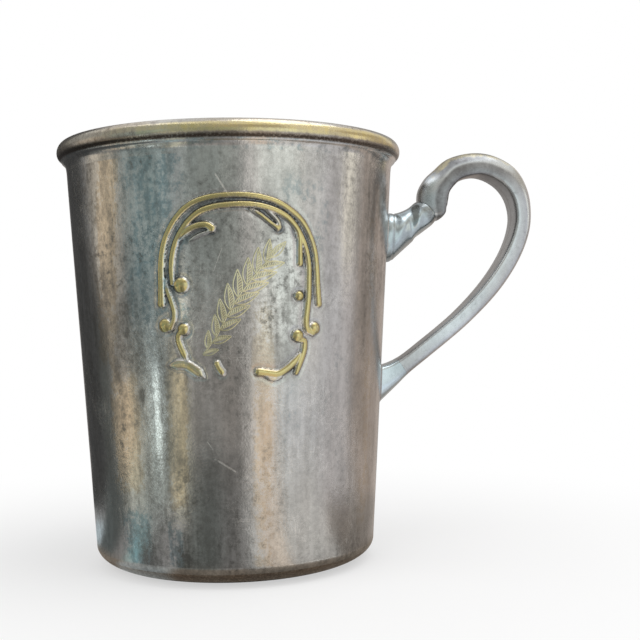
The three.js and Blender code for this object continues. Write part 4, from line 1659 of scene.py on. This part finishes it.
@dataclass
class LeafSpray:
    """Sprig of leaves cut into the plate inside the cartouche."""

    form: CupForm
    leaves: int = 17
    hatches: int = 7
    hatch_reach: float = 0.12
    leaf_length: float = 5.6
    leaf_width: float = 0.34
    spread: float = 0.62
    line: float = 0.27
    proud: float = 0.4
    stem: tuple[Place, ...] = ((-8.4, 49.0), (-5.8, 52.4), (-3.6, 56.4), (-1.2, 60.4),
                               (1.4, 63.8), (3.8, 66.6), (5.8, 68.6))

    def leaf(self) -> Piece:
        """Outline, midrib and hatch cuts of one leaf of unit length.

        Returns:
            An object of edges, which the tree copies.
        """
        along = np.linspace(0, 1, 15)
        edge = self.leaf_width / 2 * np.sin(math.pi * along ** 0.8)
        lines = [np.column_stack([along, edge]), np.column_stack([along, -edge]),
                 np.array([(0.02, 0.0), (0.45, 0.012), (0.86, 0.0)])]
        for start in np.linspace(0.14, 0.7, self.hatches):
            end = start + self.hatch_reach
            reach = np.interp(end, along, edge) * 0.86
            lines.append(np.array([(start, 0.012), (end, -reach)]))
        corners, edges = [], []
        for line in lines:
            first = len(corners)
            corners.extend((x, y, 0.0) for x, y in line)
            edges.extend((i, i + 1) for i in range(first, first + len(line) - 1))
        mesh = bpy.data.meshes.new("leaf_pattern")
        mesh.from_pydata(corners, edges, [])
        return bpy.data.objects.new("leaf_pattern", mesh)

    @staticmethod
    def tree() -> Tree:
        """Tree that sets leaves along the stem, gives the cuts width and bends them on the wall.

        Returns:
            The tree.
        """
        net, given = new_group("leaf_spray_cuts", "GeometryNodeTree", {
            "Stem": GEOMETRY, "Leaf": OBJECT, "Leaves": 15, "Leaf length": 0.005, "Spread": 0.6,
            "Line": 0.00026, "Proud": 0.3, "Foot radius": 0.03, "Slope": 0.06,
            "Seam height": 0.0046, "Finish": MATERIAL})
        stem = net.out("GeometryNodeMeshToCurve", {0: given["Stem"]})
        points = net.outs("GeometryNodeCurveToPoints", {0: stem, "Count": given["Leaves"]},
                          mode="COUNT")
        index, position = net.out("GeometryNodeInputIndex"), net.out("GeometryNodeInputPosition")
        side = net.maths("MODULO", index, 2.0) * 2.0 - 1.0
        tangent = net.split(points["Tangent"])
        share = index / (given["Leaves"] - 1.0)
        spread = given["Spread"] * (1.0 - net.maths("GREATER_THAN", share, 0.97))
        turn = side * spread + net.maths("ARCTAN2", tangent["Y"], tangent["X"])
        grow = given["Leaf length"] * (net.maths("SINE", share * 2.6) * 0.42 + 0.6)
        leaf = net.outs("GeometryNodeObjectInfo", {0: given["Leaf"]})["Geometry"]
        copies = net.out("GeometryNodeInstanceOnPoints", {
            "Points": points["Points"], "Instance": leaf, "Rotation": net.combine(z=turn),
            "Scale": net.combine(grow, grow * side, grow)})
        real = net.out("GeometryNodeRealizeInstances", {0: copies})
        both = net.add("GeometryNodeJoinGeometry", {0: stem})
        net.tree.links.new(net.out("GeometryNodeMeshToCurve", {0: real}).socket, both.inputs[0])
        fine = net.out("GeometryNodeResampleCurve", {
            0: Value(net, both.outputs[0]), "Length": 0.0003}, mode="LENGTH")
        pressed = net.out("GeometryNodeSetCurveRadius", {
            0: fine, "Radius": net.stretch(net.noise(position, 900.0, 1.0), 0.3, 0.7, 0.7, 1.3)})
        tool = net.out("GeometryNodeCurvePrimitiveCircle", {
            "Resolution": 6, "Radius": given["Line"] * 0.5})
        swept = net.out("GeometryNodeCurveToMesh", {0: pressed, 1: tool, "Fill Caps": True})
        place = net.split(position)
        radius = (place["Y"] - given["Seam height"]) * given["Slope"] + given["Foot radius"]
        angle, out = place["X"] / radius, place["Z"] * given["Proud"] + radius
        bent = net.combine(net.maths("SINE", angle) * out,
                           net.maths("COSINE", angle) * out * -1.0, place["Y"])
        return net.dressed(net.out("GeometryNodeSetPosition", {0: swept, 2: bent}),
                           given["Finish"])

    def build(self, bench: Bench) -> None:
        """Make the sprig.

        Args:
            bench: the bench that completes it.
        """
        finish, leaf = bench.finishes.engraving, self.leaf()
        route = catmull_rom(np.array([(x, y, 0.0) for x, y in self.stem]), 12)[0]
        made = new_solid("leaf_spray", route, [], [(i, i + 1) for i in range(len(route) - 1)])
        bench.apply_nodes(made, self.tree(), {
            "Leaf": leaf, "Leaves": self.leaves, "Leaf length": self.leaf_length * MM,
            "Spread": self.spread, "Line": self.line * MM, "Proud": self.proud,
            "Foot radius": self.form.foot_radius * MM, "Slope": self.form.slope,
            "Seam height": self.form.seam_height * MM, "Finish": bench.material(finish)})
        bpy.data.objects.remove(leaf)
        bench.complete(made, finish, (), 80.0)


@dataclass(frozen=True)
class Card(Patch):
    """A tinted card that the metal mirrors.

    Bearings are in degrees from the camera, positive towards the handle. Heights are in
    millimetres up the ring of cards, and below zero they run inwards over the floor.
    """

    colour: Colour
    soft: float = 5.0
    soft_rise: float = 12.0


CARDS = tuple(Card(*row) for row in (
    (-215, -145, -120, 260, (0.5, 0.46, 0.43), 20), (-150, -108, -70, 260, (0.08, 0.08, 0.08), 8),
    (-116, -98, -60, 64, (0.1, 0.1, 0.1), 5), (-106, -92, -90, 44, (0.17, 0.18, 0.17), 5),
    (-104, -78, -120, -10, (0.15, 0.17, 0.17), 8, 40), (-128, -104, -120, -84, (0.6, 0.7, 0.75), 6),
    (-100, -87, 58, 130, (1.1, 0.98, 0.82), 5, 20), (-88, -74, 58, 130, (0.78, 0.7, 0.58), 5, 20),
    (-92, -76, 40, 62, (0.5, 0.47, 0.42), 5, 12), (-72, -44, 26, 130, (0.36, 0.44, 0.45), 6, 24),
    (-70, -34, 66, 130, (0.52, 0.62, 0.62), 6, 20), (-56, -44, 58, 130, (0.36, 0.46, 0.46), 4, 20),
    (-89, -62, -2, 26, (0.8, 0.74, 0.6), 5, 12), (-86, -75, -8, 24, (1.25, 1.06, 0.82), 4, 12),
    (-79, -62, -66, -2, (0.8, 0.84, 0.75), 6, 20), (-66, -54, -120, -78, (0.58, 0.78, 0.78), 5, 20),
    (-62, -42, -66, 24, (0.48, 0.53, 0.5), 6, 20), (-54.8, -51.4, -2, 28, (2.6, 3.0, 3.0), 1.5, 8),
    (-40, -31, -66, 58, (0.85, 0.82, 0.64), 4, 16), (-32, -29, 38, 54, (2.2, 2.2, 2.0), 1.5, 6),
    (-30, 6, 40, 130, (0.52, 0.57, 0.55), 6, 30), (-25, -5, 60, 130, (0.38, 0.42, 0.4), 5, 20),
    (-30, 6, -20, 42, (0.44, 0.42, 0.4), 6, 30), (-30, -8, -120, -10, (0.25, 0.27, 0.26), 6, 20),
    (8, 62, -120, 130, (1.05, 1.05, 1.03), 6), (16, 42, 24, 130, (1.35, 1.44, 1.4), 6, 30),
    (15, 28, -120, 24, (1.24, 1.06, 0.9), 6, 30), (30, 76, -14, 24, (1.18, 1.22, 1.28), 8, 16),
    (58, 90, -66, 130, (0.9, 0.88, 0.9), 12), (76, 85, 64, 130, (1.7, 1.62, 1.42), 3),
    (91, 146, -66, 130, (0.66, 0.57, 0.51), 10), (60, 150, -120, -62, (0.48, 0.43, 0.39), 12, 20),
    (-118, -80, 134, 260, (1.1, 1.08, 1.0), 10, 20),
    (-118, -80, 112, 180, (0.55, 0.54, 0.5), 10, 20), (-80, -10, 112, 260, (0.5, 0.52, 0.46), 10),
    (-10, 40, 112, 176, (0.6, 0.56, 0.5), 10), (-10, 40, 176, 260, (1.1, 1.06, 0.95), 10),
    (32, 125, 116, 260, (1.1, 1.05, 0.96), 8), (64, 114, 116, 156, (0.66, 0.58, 0.48), 8),
    (-200, 200, -140, -109, (0.33, 0.28, 0.23), 5, 6),
    (-62, -30, -140, -109, (0.62, 0.66, 0.66), 10, 6)))


@dataclass
class Studio:
    """Pale floor, soft light, reflected cards and the camera."""

    camera_place: tuple[float, float, float] = (-15.26, -249.53, 56.75)
    look: tuple[float, float, float] = (0.1432, 0.9897, -0.0052)
    roll: float = 0.01655
    lens: float = 59.06
    sensor: float = 36.0
    floor_reach: float = 3000.0
    floor_drop: float = 0.03
    ring_radius: float = 150.0
    ring_height: float = 230.0
    inner_radius: float = 28.5
    room_tone: float = 0.42
    columns: int = 360
    floor_rows: int = 24
    standing_rows: int = 34
    card_clear: float = 0.2
    shadow_start: float = 0.03
    shadow_end: float = 0.16
    plain_light: float = 0.55
    # Name, place in metres, size and watts of each lamp.
    lamps: tuple[tuple[Any, ...], ...] = (
        ("overhead_lamp", (0.42, -0.17, 1.1), 0.85, 4.5),
        ("left_lamp", (-0.8, -0.5, 0.6), 1.2, 4.0), ("right_lamp", (0.8, -0.6, 0.5), 1.2, 3.0))

    def build(self) -> None:
        """Make the floor, the cards, the lamps, the world and the camera."""
        self.make_floor()
        self.make_cards()
        self.make_lamps()
        self.make_world()
        self.make_camera()

    def make_floor(self) -> None:
        """Make a pale floor that keeps the mug's shadow near it and fades to white."""
        floor = new_solid("pale_floor", [
            (x * self.floor_reach, y * self.floor_reach, -self.floor_drop)
            for x, y in ((-1, -1), (1, -1), (1, 1), (-1, 1))], [[0, 1, 2, 3]])
        made = bpy.data.materials.new("pale_floor")
        net = Net(made)
        away = net.measure("LENGTH", net.outs("ShaderNodeTexCoord")["Object"])
        matt = net.out("ShaderNodeBsdfPrincipled", {
            "Base Color": (0.86, 0.86, 0.86), "Roughness": 0.85, "Specular IOR Level": 0.1})
        white = net.out("ShaderNodeEmission", {"Color": (1.0, 1.0, 1.0), "Strength": 1.0})
        seen = net.outs("ShaderNodeLightPath")["Is Camera Ray"]
        share = net.stretch(away, self.shadow_start, self.shadow_end,
                            self.plain_light, 1.0) * seen
        net.add("ShaderNodeOutputMaterial", {
            0: net.out("ShaderNodeMixShader", {0: share, 1: matt, 2: white})})
        floor.data.materials.append(made)

    def make_cards(self) -> None:
        """Make the ring of tinted cards, on the floor and standing round the mug."""
        columns, ring = self.columns, self.ring_radius
        facing = math.atan2(self.camera_place[1], self.camera_place[0])
        rises = np.concatenate([
            np.linspace(self.inner_radius - ring, 0.0, self.floor_rows),
            np.linspace(0.0, self.ring_height, self.standing_rows)[1:]])
        bearing, rise = (part.ravel() for part in np.meshgrid(
            np.arange(columns) * 360 / columns, rises))
        radius, angle = ring + np.minimum(rise, 0), np.radians(bearing) + facing
        cards = new_solid("tinted_cards", np.column_stack([
            radius * np.cos(angle), radius * np.sin(angle), np.maximum(rise, 0) + self.card_clear]),
            strip_faces(len(rises), columns).tolist())
        colours = np.full((len(bearing), 3), self.room_tone)
        for card in CARDS:
            cover = card.cover(bearing, rise, card.soft / 2, card.soft_rise / 2)[:, None]
            colours = colours * (1 - cover) + np.array(card.colour) * cover
        layer = cards.data.color_attributes.new("tone", "FLOAT_COLOR", "POINT")
        layer.data.foreach_set("color", np.column_stack(
            [colours, np.ones(len(colours))]).astype(np.float32).ravel())
        made = bpy.data.materials.new("tinted_cards")
        net = Net(made)
        tone = net.outs("ShaderNodeAttribute", attribute_name="tone")["Color"]
        net.add("ShaderNodeOutputMaterial", {
            0: net.out("ShaderNodeEmission", {"Color": tone, "Strength": 1.0})})
        cards.data.materials.append(made)
        for ray in ("camera", "diffuse", "shadow", "transmission", "volume_scatter"):
            setattr(cards, f"visible_{ray}", False)

    def make_lamps(self) -> None:
        """Hang the soft lamps: one overhead and one at each side."""
        target = Vector((0.0, 0.0, 0.05))
        for name, place, size, power in self.lamps:
            lamp = bpy.data.lights.new(name, "AREA")
            lamp.energy, lamp.size = power, size
            made = link_object(name, lamp)
            made.location = place
            made.rotation_euler = (target - Vector(place)).to_track_quat("-Z", "Y").to_euler()

    def make_world(self) -> None:
        """Give the world a pale light, and white where it is seen or mirrored."""
        world = bpy.data.worlds.new("pale_room")
        bpy.context.scene.world = world
        net = Net(world)
        path = net.outs("ShaderNodeLightPath")
        seen = net.largest([path[f"Is {ray} Ray"] for ray in ("Camera", "Glossy", "Transmission")])
        glow = net.out("ShaderNodeBackground", {
            "Color": (1.0, 1.0, 1.0),
            "Strength": net.stretch(seen, 0.0, 1.0, self.plain_light, 1.0)})
        net.add("ShaderNodeOutputWorld", {0: glow})

    def make_camera(self) -> None:
        """Set the camera where the photograph was taken."""
        lens = bpy.data.cameras.new("photo_camera")
        lens.lens, lens.sensor_width = self.lens, self.sensor
        lens.clip_start, lens.clip_end = 0.01, 50.0
        made = link_object("photo_camera", lens)
        look = Vector(self.look).normalized()
        level = look.cross(Vector((0, 0, 1))).normalized()
        rise = level.cross(look)
        across = level * math.cos(self.roll) - rise * math.sin(self.roll)
        upward = rise * math.cos(self.roll) + level * math.sin(self.roll)
        turn = Matrix((across, upward, -look)).transposed()
        made.matrix_world = Matrix.Translation(Vector(self.camera_place) * MM) @ turn.to_4x4()
        bpy.context.scene.camera = made


def main() -> None:
    """Build the mug and its studio in order."""
    logging.basicConfig(level=logging.INFO, format="%(message)s")
    bpy.context.scene.view_settings.view_transform = "Standard"
    form, bench = CupForm(), Bench()
    for part in (CupWall(form), CupTrim(form), ScrollHandle(form), LeafSpray(form)):
        part.build(bench)
    Studio().build()


if __name__ == "__main__":
    main()
